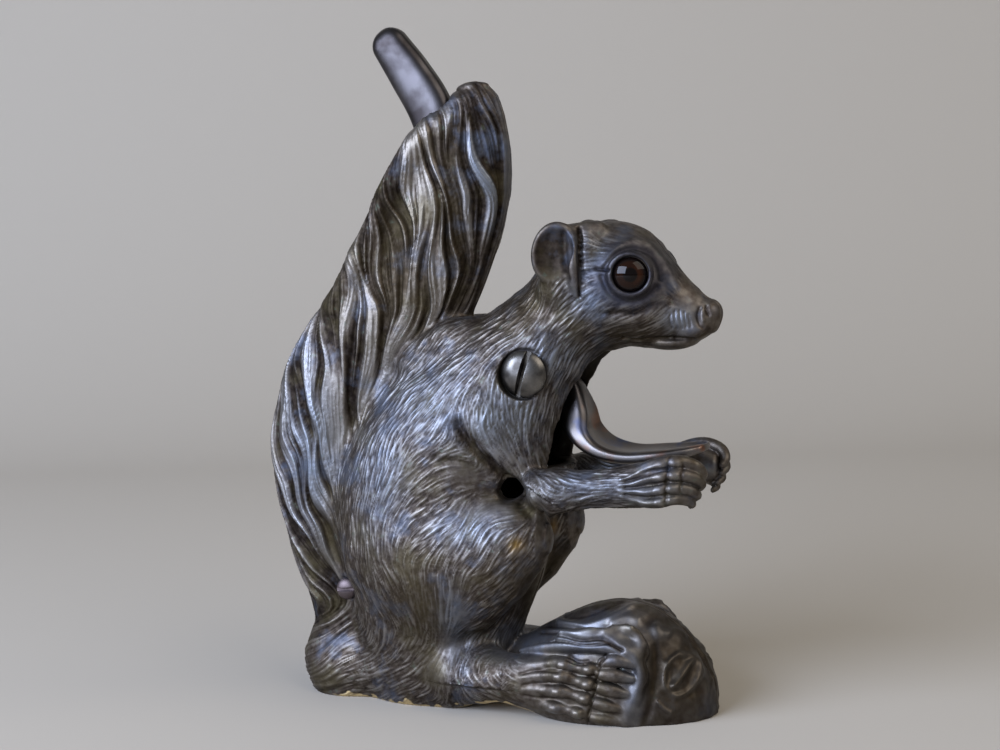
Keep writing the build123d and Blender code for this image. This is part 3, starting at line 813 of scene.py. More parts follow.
class Groom:
    """Combs noise along the fur's lie into strands.

    The lie is a map over (x, z): the mean of the guides' directions, weighed by one over the fourth power
    of their distance.  From each point of the skin a path follows the lie both ways, kept on the skin by
    the field's gradient, and the strand's height is the mean of the noise along it, by a bell curve.
    """

    map_cell = 1.5
    step = 0.6
    noise_count = 2 ** 16

    def __init__(self, casting: Casting, cell: float, seed: int) -> None:
        """Prepares the field's gradient on a coarse grid, the noise and the lie's map.

        Args:
            casting: The field that the fur lies on.
            cell: Spacing of the coarse grid.
            seed: Seed of the noise.
        """
        self.low = np.array(casting.low, np.float32) - 3 * cell
        self.cell = cell
        self.counts = np.ceil((np.array(casting.high) + 3 * cell - self.low) / cell).astype(int)
        grid = self.low + lattice(*[np.arange(n) for n in self.counts]) * cell
        values = casting.skin(grid.astype(np.float32)).reshape(self.counts)
        slopes = np.stack(np.gradient(values, cell), axis=-1)
        self.field = np.concatenate([values[..., None], slopes], axis=-1).reshape(-1, 4).astype(np.float32)
        rng = np.random.default_rng(seed)
        self.noise = rng.standard_normal(self.noise_count).astype(np.float32)
        self.map_low = np.array(casting.low[::2], np.float32)
        reach = np.array(casting.high[::2]) - self.map_low
        self.map_size = np.ceil(reach / self.map_cell).astype(int) + 1
        places = lattice(*[np.arange(n) for n in self.map_size]) * self.map_cell + self.map_low
        self.lie = self.lie_at(places)

    def lie_at(self, places: Array) -> Array:
        """The guides' mean direction at places (x, z), swaying by up to 20 degrees on the tail.

        Args:
            places: Places in the side view, one a row.

        Returns:
            Directions as pairs of cosine and sine.
        """
        x, z = places.T
        guides = np.array(GROOM, np.float32)
        gap2 = ((places[:, None, :] - guides[None, :, :2]) ** 2).sum(axis=2)
        weight = 1.0 / (gap2 + 9.0) ** 2
        angle = np.radians(guides[:, 2])
        lie = np.stack([weight @ np.cos(angle), weight @ np.sin(angle)], axis=1)
        lie /= np.linalg.norm(lie, axis=1, keepdims=True)
        sway = 0.20 * np.sin(x / 3.1 + 2.0 * np.sin(z / 9.0)) + 0.16 * np.sin(z / 4.3 + 2.0 * np.sin(x / 7.0))
        tail_edge = np.interp(z, (35.0, 85.0, 100.0, 125.0, 200.0), (-52.0, -55.0, -45.0, -15.0, 10.0))
        sway *= 1.0 - 0.6 * smoothstep(x - tail_edge, -3.0, 5.0)
        c, s = np.cos(sway), np.sin(sway)
        turned = np.stack([lie[:, 0] * c - lie[:, 1] * s, lie[:, 0] * s + lie[:, 1] * c], axis=1)
        return turned.astype(np.float32)

    def look_up(self, p: Array) -> Array:
        """Field value and gradient at points, by straight lines between the coarse grid's samples."""
        at = (p - self.low) / self.cell
        base = np.clip(at.astype(np.int32), 0, self.counts - 2)
        t = at - base
        ny, nz = self.counts[1], self.counts[2]
        start = (base[:, 0] * ny + base[:, 1]) * nz + base[:, 2]
        total = np.zeros((len(p), 4), np.float32)
        for i, j, k, share in corner_shares(t):
            total += self.field[start + (i * ny + j) * nz + k] * share[:, None]
        return total

    def direction(self, p: Array, gradient: Array) -> Array:
        """The lie at points, laid into the skin: its part along the gradient is taken away."""
        at = (p[:, ::2] - self.map_low) / self.map_cell
        base = np.clip(np.rint(at).astype(np.int32), 0, self.map_size - 1)
        flat = self.lie[base[:, 0] * self.map_size[1] + base[:, 1]]
        lie = np.stack([flat[:, 0], np.zeros(len(p), np.float32), flat[:, 1]], axis=1)
        normal = gradient / np.maximum(np.linalg.norm(gradient, axis=1, keepdims=True), 1e-6)
        lie = lie - (lie * normal).sum(axis=1, keepdims=True) * normal
        return lie / np.maximum(np.linalg.norm(lie, axis=1, keepdims=True), 0.15)

    def value_noise(self, p: Array, size: float) -> Array:
        """Smooth noise: random numbers at the corners of cells of that size, blended between them."""
        q = p / size + 100.0
        base = np.floor(q).astype(np.int64)
        t = q - base
        t = (t * t * (3.0 - 2.0 * t)).astype(np.float32)
        hashed = [[(base[:, axis] + step) * prime for step in (0, 1)]
                  for axis, prime in enumerate(HASH_PRIMES)]
        total = np.zeros(len(p), np.float32)
        for i, j, k, share in corner_shares(t):
            key = hashed[0][i] ^ hashed[1][j] ^ hashed[2][k]
            total += self.noise[key & (self.noise_count - 1)] * share
        return total

    def strands(self, points: Array, size: float, comb: float) -> Array:
        """Combed noise at points.

        Args:
            points: Points on the skin, one a row.
            size: Size of the noise.
            comb: How far it is combed: the bell curve's half width.

        Returns:
            Heights with a spread of about 1 round 0.
        """
        total = self.value_noise(points, size)
        weight = 1.0
        for way in (-1.0, 1.0):
            place = points
            for count in range(1, int(2.1 * comb / self.step)):
                state = self.look_up(place)
                lie = self.direction(place, state[:, 1:])
                length = np.maximum(np.linalg.norm(state[:, 1:], axis=1, keepdims=True), 1e-6)
                off_skin = np.clip(state[:, :1], -0.3, 0.3)
                place = place + way * self.step * lie - off_skin * state[:, 1:] / length
                bell = math.exp(-0.5 * (count * self.step / comb) ** 2)
                total += bell * self.value_noise(place, size)
                weight += bell * bell
        return total / math.sqrt(weight)


# ---------------------------------------------------------------- chased lines

@dataclass(frozen=True)
class Stroke:
    """A ridge or groove on the outward face: its line of (x, z), its height and its half width."""

    line: tuple[tuple[float, float], ...]
    height: float
    half_width: float

    def lift(self, x: Array, z: Array) -> Array:
        """Height at points: a bell across the line, exp(-(gap / half width)^2)."""
        corners = through(np.array(self.line, np.float32), 4)
        reach = 2.6 * self.half_width
        low, high = corners.min(axis=0) - reach, corners.max(axis=0) + reach
        near = (x > low[0]) & (x < high[0]) & (z > low[1]) & (z < high[1])
        result = np.zeros(len(x), np.float32)
        if near.any():
            gap, _ = polyline_distance(np.stack([x[near], z[near]], axis=1), corners)
            result[near] = self.height * np.exp(-(gap / self.half_width) ** 2)
        return result


HEAD_STROKES = (
    Stroke(((66.4, 120.9), (60.7, 121.5), (54.2, 121.3), (48.9, 120.8), (45.0, 121.6)), -0.9, 0.55),
    Stroke(((71.6, 124.3), (70.2, 122.6), (68.0, 121.4), (66.2, 120.9)), -0.5, 0.5),
    Stroke(((40.0, 129.9), (44.4, 130.2), (50.8, 129.9), (56.0, 132.4)), -0.45, 0.9),
    Stroke(((44.0, 127.4), (50.0, 127.0), (56.5, 129.4)), 0.3, 1.4),
    Stroke(((41.3, 144.3), (44.6, 148.4), (49.2, 150.0), (53.9, 148.2), (56.9, 144.2), (57.8, 140.2)),
           -0.55, 0.7),
    Stroke(((42.0, 146.0), (45.0, 150.4), (49.6, 152.2), (54.8, 150.2), (58.6, 145.6)), 0.45, 1.1),
    Stroke(((40.6, 141.6), (43.2, 136.2), (48.0, 133.4), (53.0, 134.2), (57.0, 137.8)), -0.5, 0.8),
    Stroke(((38.8, 144.0), (41.2, 143.6), (43.4, 143.4)), -0.7, 0.45),
    Stroke(((53.6, 150.4), (56.8, 146.6), (59.4, 142.0), (61.4, 137.6)), 0.35, 1.2),
    Stroke(((58.6, 141.0), (60.4, 136.6), (61.0, 133.4)), -0.5, 1.1),
    Stroke(((61.6, 127.4), (63.6, 127.2)), 0.9, 3.0),
    Stroke(((60.4, 129.4), (60.2, 127.0), (60.6, 124.8)), -0.4, 0.33),
    Stroke(((61.7, 130.2), (61.6, 127.4), (62.0, 124.6)), -0.4, 0.33),
    Stroke(((63.0, 130.2), (63.1, 127.4), (63.5, 124.6)), -0.4, 0.33),
    Stroke(((64.3, 129.6), (64.5, 127.2), (64.9, 124.9)), -0.4, 0.33),
    Stroke(((65.5, 128.6), (65.9, 126.8), (66.3, 125.0)), -0.35, 0.33),
    Stroke(((68.7, 130.6), (68.3, 128.2), (68.9, 125.8), (70.0, 124.6)), -0.6, 0.5),
    Stroke(((70.6, 131.2), (70.9, 129.8), (71.4, 128.6)), -0.8, 0.5),
    Stroke(((69.6, 130.2), (69.5, 128.2), (69.8, 126.8)), 0.5, 0.6),
    Stroke(((32.8, 156.6), (33.6, 151.9), (34.1, 145.6), (34.2, 140.0), (33.4, 135.0)), -1.1, 0.5),
    Stroke(((28.8, 155.0), (28.4, 150.0), (29.2, 145.0), (30.4, 141.0)), -0.8, 1.1),
)
PAW_STROKES = (
    Stroke(((47.0, 78.6), (50.5, 80.0), (54.5, 82.0), (58.0, 83.4)), 0.5, 0.6),
    Stroke(((46.5, 77.0), (50.6, 77.6), (54.4, 79.0), (58.0, 79.9)), 0.5, 0.6),
    Stroke(((46.5, 75.2), (50.8, 75.4), (54.5, 75.1), (58.2, 75.8)), 0.5, 0.6),
    Stroke(((47.0, 73.2), (51.0, 72.2), (55.0, 71.6), (58.4, 72.0)), 0.4, 0.6),
    Stroke(((62.4, 86.2), (62.2, 80.0), (61.6, 74.4), (61.2, 70.2)), -0.5, 0.45),
    Stroke(((66.6, 83.8), (66.4, 80.0), (65.8, 75.0)), -0.4, 0.4),
    Stroke(((48.5, 78.4), (51.0, 79.0), (55.5, 80.6), (59.0, 82.0), (62.6, 82.6)), -0.85, 0.4),
    Stroke(((48.5, 76.4), (50.9, 76.4), (55.4, 77.3), (59.9, 78.2), (62.6, 78.8)), -0.85, 0.4),
    Stroke(((48.5, 74.2), (50.8, 73.6), (55.3, 73.4), (59.8, 74.2), (62.4, 74.8)), -0.85, 0.4),
)
KNUCKLES = tuple(Stroke(((x - 0.5, z), (x + 0.5, z)), 0.55, 1.15) for x, z in (
    (59.7, 83.6), (64.7, 84.0), (59.7, 80.0), (64.4, 80.5), (59.4, 76.1), (64.0, 76.5), (59.3, 72.2),
    (63.4, 72.9), (27.2, 19.4), (26.0, 15.7), (25.4, 10.9), (24.0, 5.4), (35.6, 18.4), (35.2, 13.8),
    (34.4, 9.2), (31.8, 4.2)))
FOOT_STROKES = (
    Stroke(((15.0, 18.4), (22.0, 19.2)), 0.3, 0.9),
    Stroke(((14.0, 14.6), (21.0, 15.6)), 0.3, 0.9),
    Stroke(((14.0, 10.4), (20.0, 10.9)), 0.3, 0.9),
    Stroke(((13.0, 15.4), (18.0, 16.8), (26.0, 17.5)), -0.4, 0.5),
    Stroke(((14.0, 12.0), (18.0, 12.8), (25.0, 13.3)), -0.4, 0.5),
    Stroke(((14.0, 8.6), (18.0, 8.2), (24.0, 8.1)), -0.4, 0.5),
    Stroke(((41.2, 22.8), (39.4, 19.8), (38.4, 15.4), (37.4, 10.0), (35.6, 4.4), (34.9, 0.6)), -0.7, 0.45),
    Stroke(((29.0, 21.4), (32.0, 20.2), (35.0, 20.4)), -0.7, 0.5),
)
HUSK_STROKES = (
    Stroke(((6.0, 24.0), (16.0, 26.6), (26.0, 27.9), (33.0, 27.3), (40.0, 27.9), (46.5, 25.0)), -0.9, 0.6),
    Stroke(((14.0, 24.6), (26.0, 26.4), (35.0, 25.8), (42.0, 26.8), (46.0, 24.6)), -0.7, 0.5),
    Stroke(((20.0, 28.4), (28.0, 28.6), (34.0, 29.8), (41.4, 33.0), (45.0, 35.2)), 0.8, 1.1),
    Stroke(((22.0, 29.6), (30.0, 31.4), (38.0, 34.6), (42.0, 36.0)), -0.5, 0.6),
    Stroke(((8.0, 26.0), (16.0, 29.4), (24.0, 32.2), (32.0, 34.4)), 0.5, 0.8),
    Stroke(((40.0, 30.4), (44.6, 32.0), (48.0, 31.4)), 0.8, 1.2),
)
NUT_STROKES = (
    Stroke(((61.0, 21.2), (65.4, 19.4), (67.2, 15.2), (65.4, 10.6), (61.6, 9.2), (58.6, 11.6), (57.8, 15.8),
            (59.0, 19.6), (61.0, 21.2)), 0.8, 0.9),
    Stroke(((60.8, 12.4), (62.4, 14.8), (64.2, 18.0)), 1.3, 1.1),
    Stroke(((53.2, 29.6), (55.4, 27.4), (57.2, 26.8)), 0.9, 1.2),
    Stroke(((51.0, 31.0), (52.6, 30.6)), -0.6, 1.4),
    Stroke(((56.4, 7.6), (58.0, 5.6), (60.0, 4.2)), 0.7, 0.5),
    Stroke(((61.0, 28.2), (64.6, 23.8), (67.6, 18.4)), 0.5, 0.6),
    Stroke(((54.4, 24.0), (55.6, 16.0), (54.6, 8.0), (52.6, 1.0)), -0.7, 1.3),
    Stroke(((66.6, 17.4), (69.0, 9.6), (69.4, 5.0)), 0.4, 0.6),
)
BODY_STROKES = (
    Stroke(((-12.0, 4.0), (-9.0, 12.0), (-8.6, 22.0), (-6.0, 30.0)), -0.4, 2.2),
    Stroke(((-14.0, 84.0), (-4.0, 83.0), (2.0, 78.0)), -0.5, 1.6),
    Stroke(((-6.0, 95.0), (-1.0, 88.0), (6.5, 80.5), (12.4, 71.5), (16.6, 67.4)), -1.3, 1.7),
    Stroke(((1.0, 96.0), (5.0, 88.0), (12.0, 79.0), (18.0, 72.0)), 0.6, 2.6),
)
STROKES = HEAD_STROKES + PAW_STROKES + KNUCKLES + FOOT_STROKES + HUSK_STROKES + NUT_STROKES + BODY_STROKES

# Patches (x, z, half length, half height) on the outward face: a yellow spot of painted sunlight,
# rubbed smooth, bluish, brown.
PAINTED_SUNLIGHT = ((13.5, 57.5, 2.2, 2.6),)
SMOOTH = ((7.0, 68.5, 11.0, 3.4), (-4.0, 79.0, 7.0, 4.0), (-6.0, 34.0, 3.2, 7.0), (-12.0, 23.0, 4.4, 6.0),
          (-18.0, 13.0, 5.0, 5.0), (8.0, 22.0, 8.0, 5.0))
COOL = ((-16.0, 102.0, 20.0, 14.0), (8.0, 98.0, 14.0, 13.0), (22.0, 116.0, 13.0, 8.0),
        (36.0, 134.0, 8.0, 7.0), (38.0, 148.0, 5.0, 7.0), (62.5, 127.5, 5.0, 5.0), (38.0, 76.0, 22.0, 5.0),
        (-34.0, 80.0, 10.0, 18.0), (-2.0, 62.0, 14.0, 6.0), (-9.0, 28.0, 5.0, 14.0), (8.0, 23.0, 10.0, 4.0),
        (33.0, 26.0, 20.0, 3.6), (50.0, 13.0, 3.4, 14.0), (-66.0, 84.0, 10.0, 30.0), (0.0, 176.0, 9.0, 16.0))
WARM = ((-22.0, 40.0, 14.0, 12.0), (9.0, 46.0, 9.0, 10.0), (-30.0, 140.0, 12.0, 22.0),
        (46.0, 121.0, 14.0, 5.0), (14.0, 132.0, 8.0, 10.0), (-56.0, 66.0, 7.0, 18.0),
        (61.0, 18.0, 13.0, 18.0), (-12.0, 160.0, 5.0, 26.0))


def patches(places: Sequence[tuple[float, float, float, float]], x: Array, z: Array) -> Array:
    """Share of the patches at points: the largest of exp(-((x - a) / b)^2 - ((z - c) / d)^2).

    Args:
        places: The patches.
        x: Lengthwise place of each point.
        z: Height of each point.

    Returns:
        Shares from 0 to 1.
    """
    return np.maximum.reduce([np.exp(-((x - px) / sx) ** 2 - ((z - pz) / sz) ** 2)
                              for px, pz, sx, sz in places])


# ---------------------------------------------------------------- blender helpers

def linear(hex_colour: str) -> Colour:
    """Turns an sRGB hex colour into the linear values that Blender's sockets take.

    Args:
        hex_colour: Six hex digits.

    Returns:
        Red, green, blue and an alpha of 1.
    """
    shares = [int(hex_colour[i:i + 2], 16) / 255.0 for i in (0, 2, 4)]
    red, green, blue = [c / 12.92 if c <= 0.04045 else ((c + 0.055) / 1.055) ** 2.4 for c in shares]
    return red, green, blue, 1.0


def add(tree: Tree, kind: str, links: dict | None = None, **settings: object) -> bpy.types.Node:
    """Adds a node, sets it and links it.

    Args:
        tree: The node tree.
        kind: The node's type name, without ShaderNode.
        links: For an input's name or number, an output socket to link or a plain value to set.
        settings: Properties of the node itself.

    Returns:
        The node.
    """
    node = tree.nodes.new("ShaderNode" + kind)
    for name, value in settings.items():
        setattr(node, name, value)
    for name, value in (links or {}).items():
        if isinstance(value, Socket):
            tree.links.new(value, node.inputs[name])
        else:
            node.inputs[name].default_value = value
    return node


def noise(tree: Tree, place: Socket, size_mm: float, detail: float, roughness: float = 0.5) -> Socket:
    """A noise over the object, its largest features about size_mm across."""
    return add(tree, "TexNoise", {"Vector": place, "Scale": 1000 / size_mm, "Detail": detail,
                                  "Roughness": roughness}).outputs["Fac"]


def remap(tree: Tree, value: Socket, low: float, high: float, to_low: float = 0.0,
          to_high: float = 1.0) -> Socket:
    """Runs from to_low to to_high as the value runs from low to high, and stays there beyond."""
    return add(tree, "MapRange", {"Value": value, "From Min": low, "From Max": high,
                                  "To Min": to_low, "To Max": to_high}).outputs[0]


def product(tree: Tree, a: Socket, b: Socket) -> Socket:
    """The product of two values."""
    return add(tree, "Math", {0: a, 1: b}, operation="MULTIPLY").outputs[0]


def mix(tree: Tree, share: Socket, colour: Socket | Colour, tint: str) -> Socket:
    """A colour mixed with a tint, given as sRGB hex, by a share."""
    return add(tree, "Mix", {"Factor": share, "A": colour, "B": linear(tint)}, data_type="RGBA").outputs[2]


def finish(tree: Tree, shader: bpy.types.Node, colour: Socket, rough: Socket, grain: Socket,
           bump: float, metallic: float) -> None:
    """Links a metal's colour, roughness and grain to its shader.

    Args:
        tree: The node tree.
        shader: The Principled shader.
        colour: The base colour.
        rough: The roughness.
        grain: Height of the grain, 0.1 mm where it is 1.
        bump: Strength of the grain.
        metallic: How metallic the surface is.
    """
    normal = add(tree, "Bump", {"Strength": bump, "Distance": 0.0001, "Height": grain}).outputs[0]
    for socket, value in (("Base Color", colour), ("Roughness", rough), ("Normal", normal)):
        tree.links.new(value, shader.inputs[socket])
    shader.inputs["Metallic"].default_value = metallic


def new_material(name: str) -> tuple[Material, Tree, bpy.types.Node]:
    """Makes a material with a Principled shader, and gives it, its tree and the shader."""
    material = bpy.data.materials.new(name)
    material.use_nodes = True
    tree = material.node_tree
    tree.nodes.clear()
    shader = add(tree, "BsdfPrincipled")
    add(tree, "OutputMaterial", {"Surface": shader.outputs[0]})
    return material, tree, shader


def make_object(name: str, points: Array, faces: Array, material: Material,
                attributes: dict[str, Array] | None = None, normals: Array | None = None,
                smooth: bool = True) -> Object:
    """Makes an object of points in millimetres and faces of one size.

    Args:
        name: The object's name.
        points: Points (X, Y, Z) in millimetres, one a row.
        faces: Point numbers, one face a row.
        material: What it is dressed in.
        attributes: Numbers at the points, by name.
        normals: Normals at the points, where neighbours share them.
        smooth: Whether the faces are shaded smooth.

    Returns:
        The object, in the scene.
    """
    mesh = bpy.data.meshes.new(name)
    mesh.vertices.add(len(points))
    mesh.vertices.foreach_set("co", (points * MM).astype(np.float32).ravel())
    width = faces.shape[1]
    mesh.loops.add(faces.size)
    mesh.loops.foreach_set("vertex_index", faces.astype(np.int32).ravel())
    mesh.polygons.add(len(faces))
    mesh.polygons.foreach_set("loop_start", np.arange(0, faces.size, width, dtype=np.int32))
    mesh.polygons.foreach_set("use_smooth", np.full(len(faces), smooth))
    mesh.update(calc_edges=True)
    for key, values in (attributes or {}).items():
        layer = mesh.attributes.new(key, "FLOAT", "POINT")
        layer.data.foreach_set("value", values.astype(np.float32))
    if normals is not None:
        mesh.normals_split_custom_set_from_vertices(normals.astype(np.float32))
    mesh.materials.append(material)
    obj = bpy.data.objects.new(name, mesh)
    bpy.context.scene.collection.objects.link(obj)
    return obj


def grid_faces(rows: int, columns: int) -> Array:
    """Quads of a grid whose columns join round, with point numbers row by row."""
    number = np.arange(rows * columns).reshape(rows, columns)
    after = np.roll(number, -1, axis=1)
    return np.stack([number[:-1], after[:-1], after[1:], number[1:]], axis=-1).reshape(-1, 4)


# ---------------------------------------------------------------- finishes

@dataclass(frozen=True)
class CastBronze:
    """Sand-cast bronze under a dark brown-black patina, chased by hand and then handled for years.

    The eye sees near-black grooves, a brown skin, and ridges rubbed to a cooler, smoother grey bronze
    that catch the window.  Sand grain of about 0.3 mm roughens it, and green stays in places.  A small
    yellow spot of painted sunlight lies on the knee, and a painted shade of dark blue rings the eye.
    """

    name: str = "cast_bronze_patina"
    groove: str = "1c1510"
    skin: str = "483f37"
    ridge: str = "7a736b"
    sheen: str = "58606f"
    cool: str = "7d8796"
    warm: str = "3d3320"
    olive: str = "4e4630"
    green: str = "4b5a4c"
    # Yellow of the painted sunlight, a small pool of light on the knee.
    painted_sunlight_yellow: str = "8a6a2c"
    # Dark blue of the painted shade round the eye.
    blue: str = "1e2434"
    raw: str = "b9a47a"
    grain_mm: float = 0.35
    mottle_mm: float = 2.6
    blotch_mm: float = 14.0
    roughness: float = 0.44
    groove_roughness: float = 0.68
    bump: float = 0.25
    metallic: float = 0.9

    def build(self) -> Material:
        """Makes the material from cavity, painted eye shade, edge, nut, painted sunlight, cool and warm."""
        material, tree, shader = new_material(self.name)
        place = add(tree, "TexCoord").outputs["Object"]
        cavity, dusk, edge, nut, sun, cool, warm = [
            add(tree, "Attribute", attribute_name=key).outputs["Fac"]
            for key in ("cavity", "dusk", "edge", "nut", "sun", "cool", "warm")]
        blotch = noise(tree, place, self.blotch_mm, 4.0, 0.6)
        fine = noise(tree, place, self.mottle_mm, 3.0)
        grain = noise(tree, place, self.grain_mm, 2.0)
        height = add(tree, "Math", {0: cavity, 1: fine}, operation="ADD").outputs[0]
        ramp = add(tree, "ValToRGB", {"Fac": remap(tree, height, 0.15, 1.65)})
        stops = ramp.color_ramp.elements
        stops[0].position, stops[0].color = 0.18, linear(self.groove)
        stops[1].position, stops[1].color = 0.86, linear(self.ridge)
        stops.new(0.5).color = linear(self.skin)
        colour = ramp.outputs["Color"]
        for mask, low, high, tint, share in ((blotch, 0.50, 0.66, self.olive, 0.55),
                                             (blotch, 0.46, 0.34, self.sheen, 0.45),
                                             (fine, 0.64, 0.74, self.green, 0.40),
                                             (product(tree, cool, cavity), 0.0, 0.9, self.cool, 0.62),
                                             (warm, 0.0, 1.0, self.warm, 0.5),
                                             # Painted sunlight: a small yellow pool of light on the knee.
                                             (sun, 0.0, 1.0, self.painted_sunlight_yellow, 0.5),
                                             # Painted shade: a dark blue over the lids and socket round the
                                             # eye.
                                             (dusk, 0.0, 1.0, self.blue, 0.6),
                                             (nut, 0.0, 1.0, self.groove, 0.5),
                                             (edge, 0.2, 0.9, self.raw, 0.95)):
            colour = mix(tree, remap(tree, mask, low, high, 0.0, share), colour, tint)
        rough = remap(tree, height, 0.3, 1.4, self.groove_roughness, self.roughness)
        finish(tree, shader, colour, rough, grain, self.bump, self.metallic)
        return material


@dataclass(frozen=True)
class WornMetal:
    """A turned or handled metal: a colour, a darker tarnish in patches, and fine scratches.

    With rubbed given, the metal below the height rub_mm is worn to that lighter colour, and thin oxide
    tints it blue and copper in spots.
    """

    name: str
    colour: str
    tarnish: str
    roughness: float
    patch_mm: float = 9.0
    spot_mm: float = 11.0
    grain_mm: float = 0.5
    metallic: float = 1.0
    bump: float = 0.12
    rubbed: str = ""
    rub_mm: float = 110.0
    fade_mm: float = 22.0
    blue: str = "45557c"
    copper: str = "8f5b3a"

    def build(self) -> Material:
        """Makes the material: patches of noise mix colour and tarnish, and grain breaks the gloss."""
        material, tree, shader = new_material(self.name)
        place = add(tree, "TexCoord").outputs["Object"]
        patch = noise(tree, place, self.patch_mm, 5.0)
        colour = mix(tree, remap(tree, patch, 0.38, 0.66), linear(self.colour), self.tarnish)
        if self.rubbed:
            height = add(tree, "SeparateXYZ", {"Vector": place}).outputs["Z"]
            worn = remap(tree, height, self.rub_mm * MM, (self.rub_mm - self.fade_mm) * MM)
            spots = noise(tree, place, self.spot_mm, 3.0)
            for mask, low, high, tint, share in ((worn, 0.0, 1.0, self.rubbed, 0.7),
                                                 (spots, 0.56, 0.68, self.copper, 0.6),
                                                 (spots, 0.45, 0.34, self.blue, 0.6)):
                amount = product(tree, remap(tree, mask, low, high, 0.0, share), worn)
                colour = mix(tree, amount, colour, tint)
        rough = remap(tree, patch, 0.3, 0.7, self.roughness * 0.85, self.roughness * 1.3)
        finish(tree, shader, colour, rough, noise(tree, place, self.grain_mm, 2.0), self.bump, self.metallic)
        return material


@dataclass(frozen=True)
class GlassEye:
    """Blown glass over a painted iris: a black pupil, a brown iris with a darker rim, and a wet gloss.

    The front of the iris is painted lighter between two places along X, given in metres: painted light for
    the window's light that the dome gathers on the iris's side away from it.
    """

    name: str = "glass_eye_brown"
    pupil: str = "080403"
    iris: str = "1a0b05"
    # Painted light: the lighter orange-brown that the dome gathers on the iris's front.
    painted_light: str = "351a0a"
    rim: str = "0b0605"
    pupil_mm: float = 2.2
    iris_mm: float = 4.6
    # Where the painted light on the iris starts and where it is full, along X in metres.
    painted_light_x: tuple[float, float] = (0.0505, 0.0550)

    def build(self) -> Material:
        """Makes the material from the attribute spread, the distance from the eye's axis in millimetres."""
        material, tree, shader = new_material(self.name)
        spread = add(tree, "Attribute", attribute_name="spread").outputs["Fac"]
        share = remap(tree, spread, 0.0, self.iris_mm)
        ramp = add(tree, "ValToRGB", {"Fac": share})
        stops = ramp.color_ramp.elements
        pupil = self.pupil_mm / self.iris_mm
        stops[0].position, stops[0].color = pupil - 0.04, linear(self.pupil)
        stops[1].position, stops[1].color = 1.0, linear(self.rim)
        for position in (pupil + 0.05, 0.86):
            stops.new(position).color = linear(self.iris)
        place = add(tree, "SeparateXYZ", {"Vector": add(tree, "TexCoord").outputs["Object"]}).outputs["X"]
        # Painted light on the iris's front ring, where the dome gathers the window's light.
        ahead = remap(tree, place, *self.painted_light_x)
        ring = product(tree, remap(tree, share, 0.90, 0.62), remap(tree, share, 0.46, 0.62))
        colour = mix(tree, product(tree, ahead, ring), ramp.outputs["Color"], self.painted_light)
        tree.links.new(colour, shader.inputs["Base Color"])
        for socket, value in (("Roughness", 0.04), ("IOR", 1.5), ("Specular IOR Level", 0.2)):
            shader.inputs[socket].default_value = value
        return material


# ---------------------------------------------------------------- the pieces

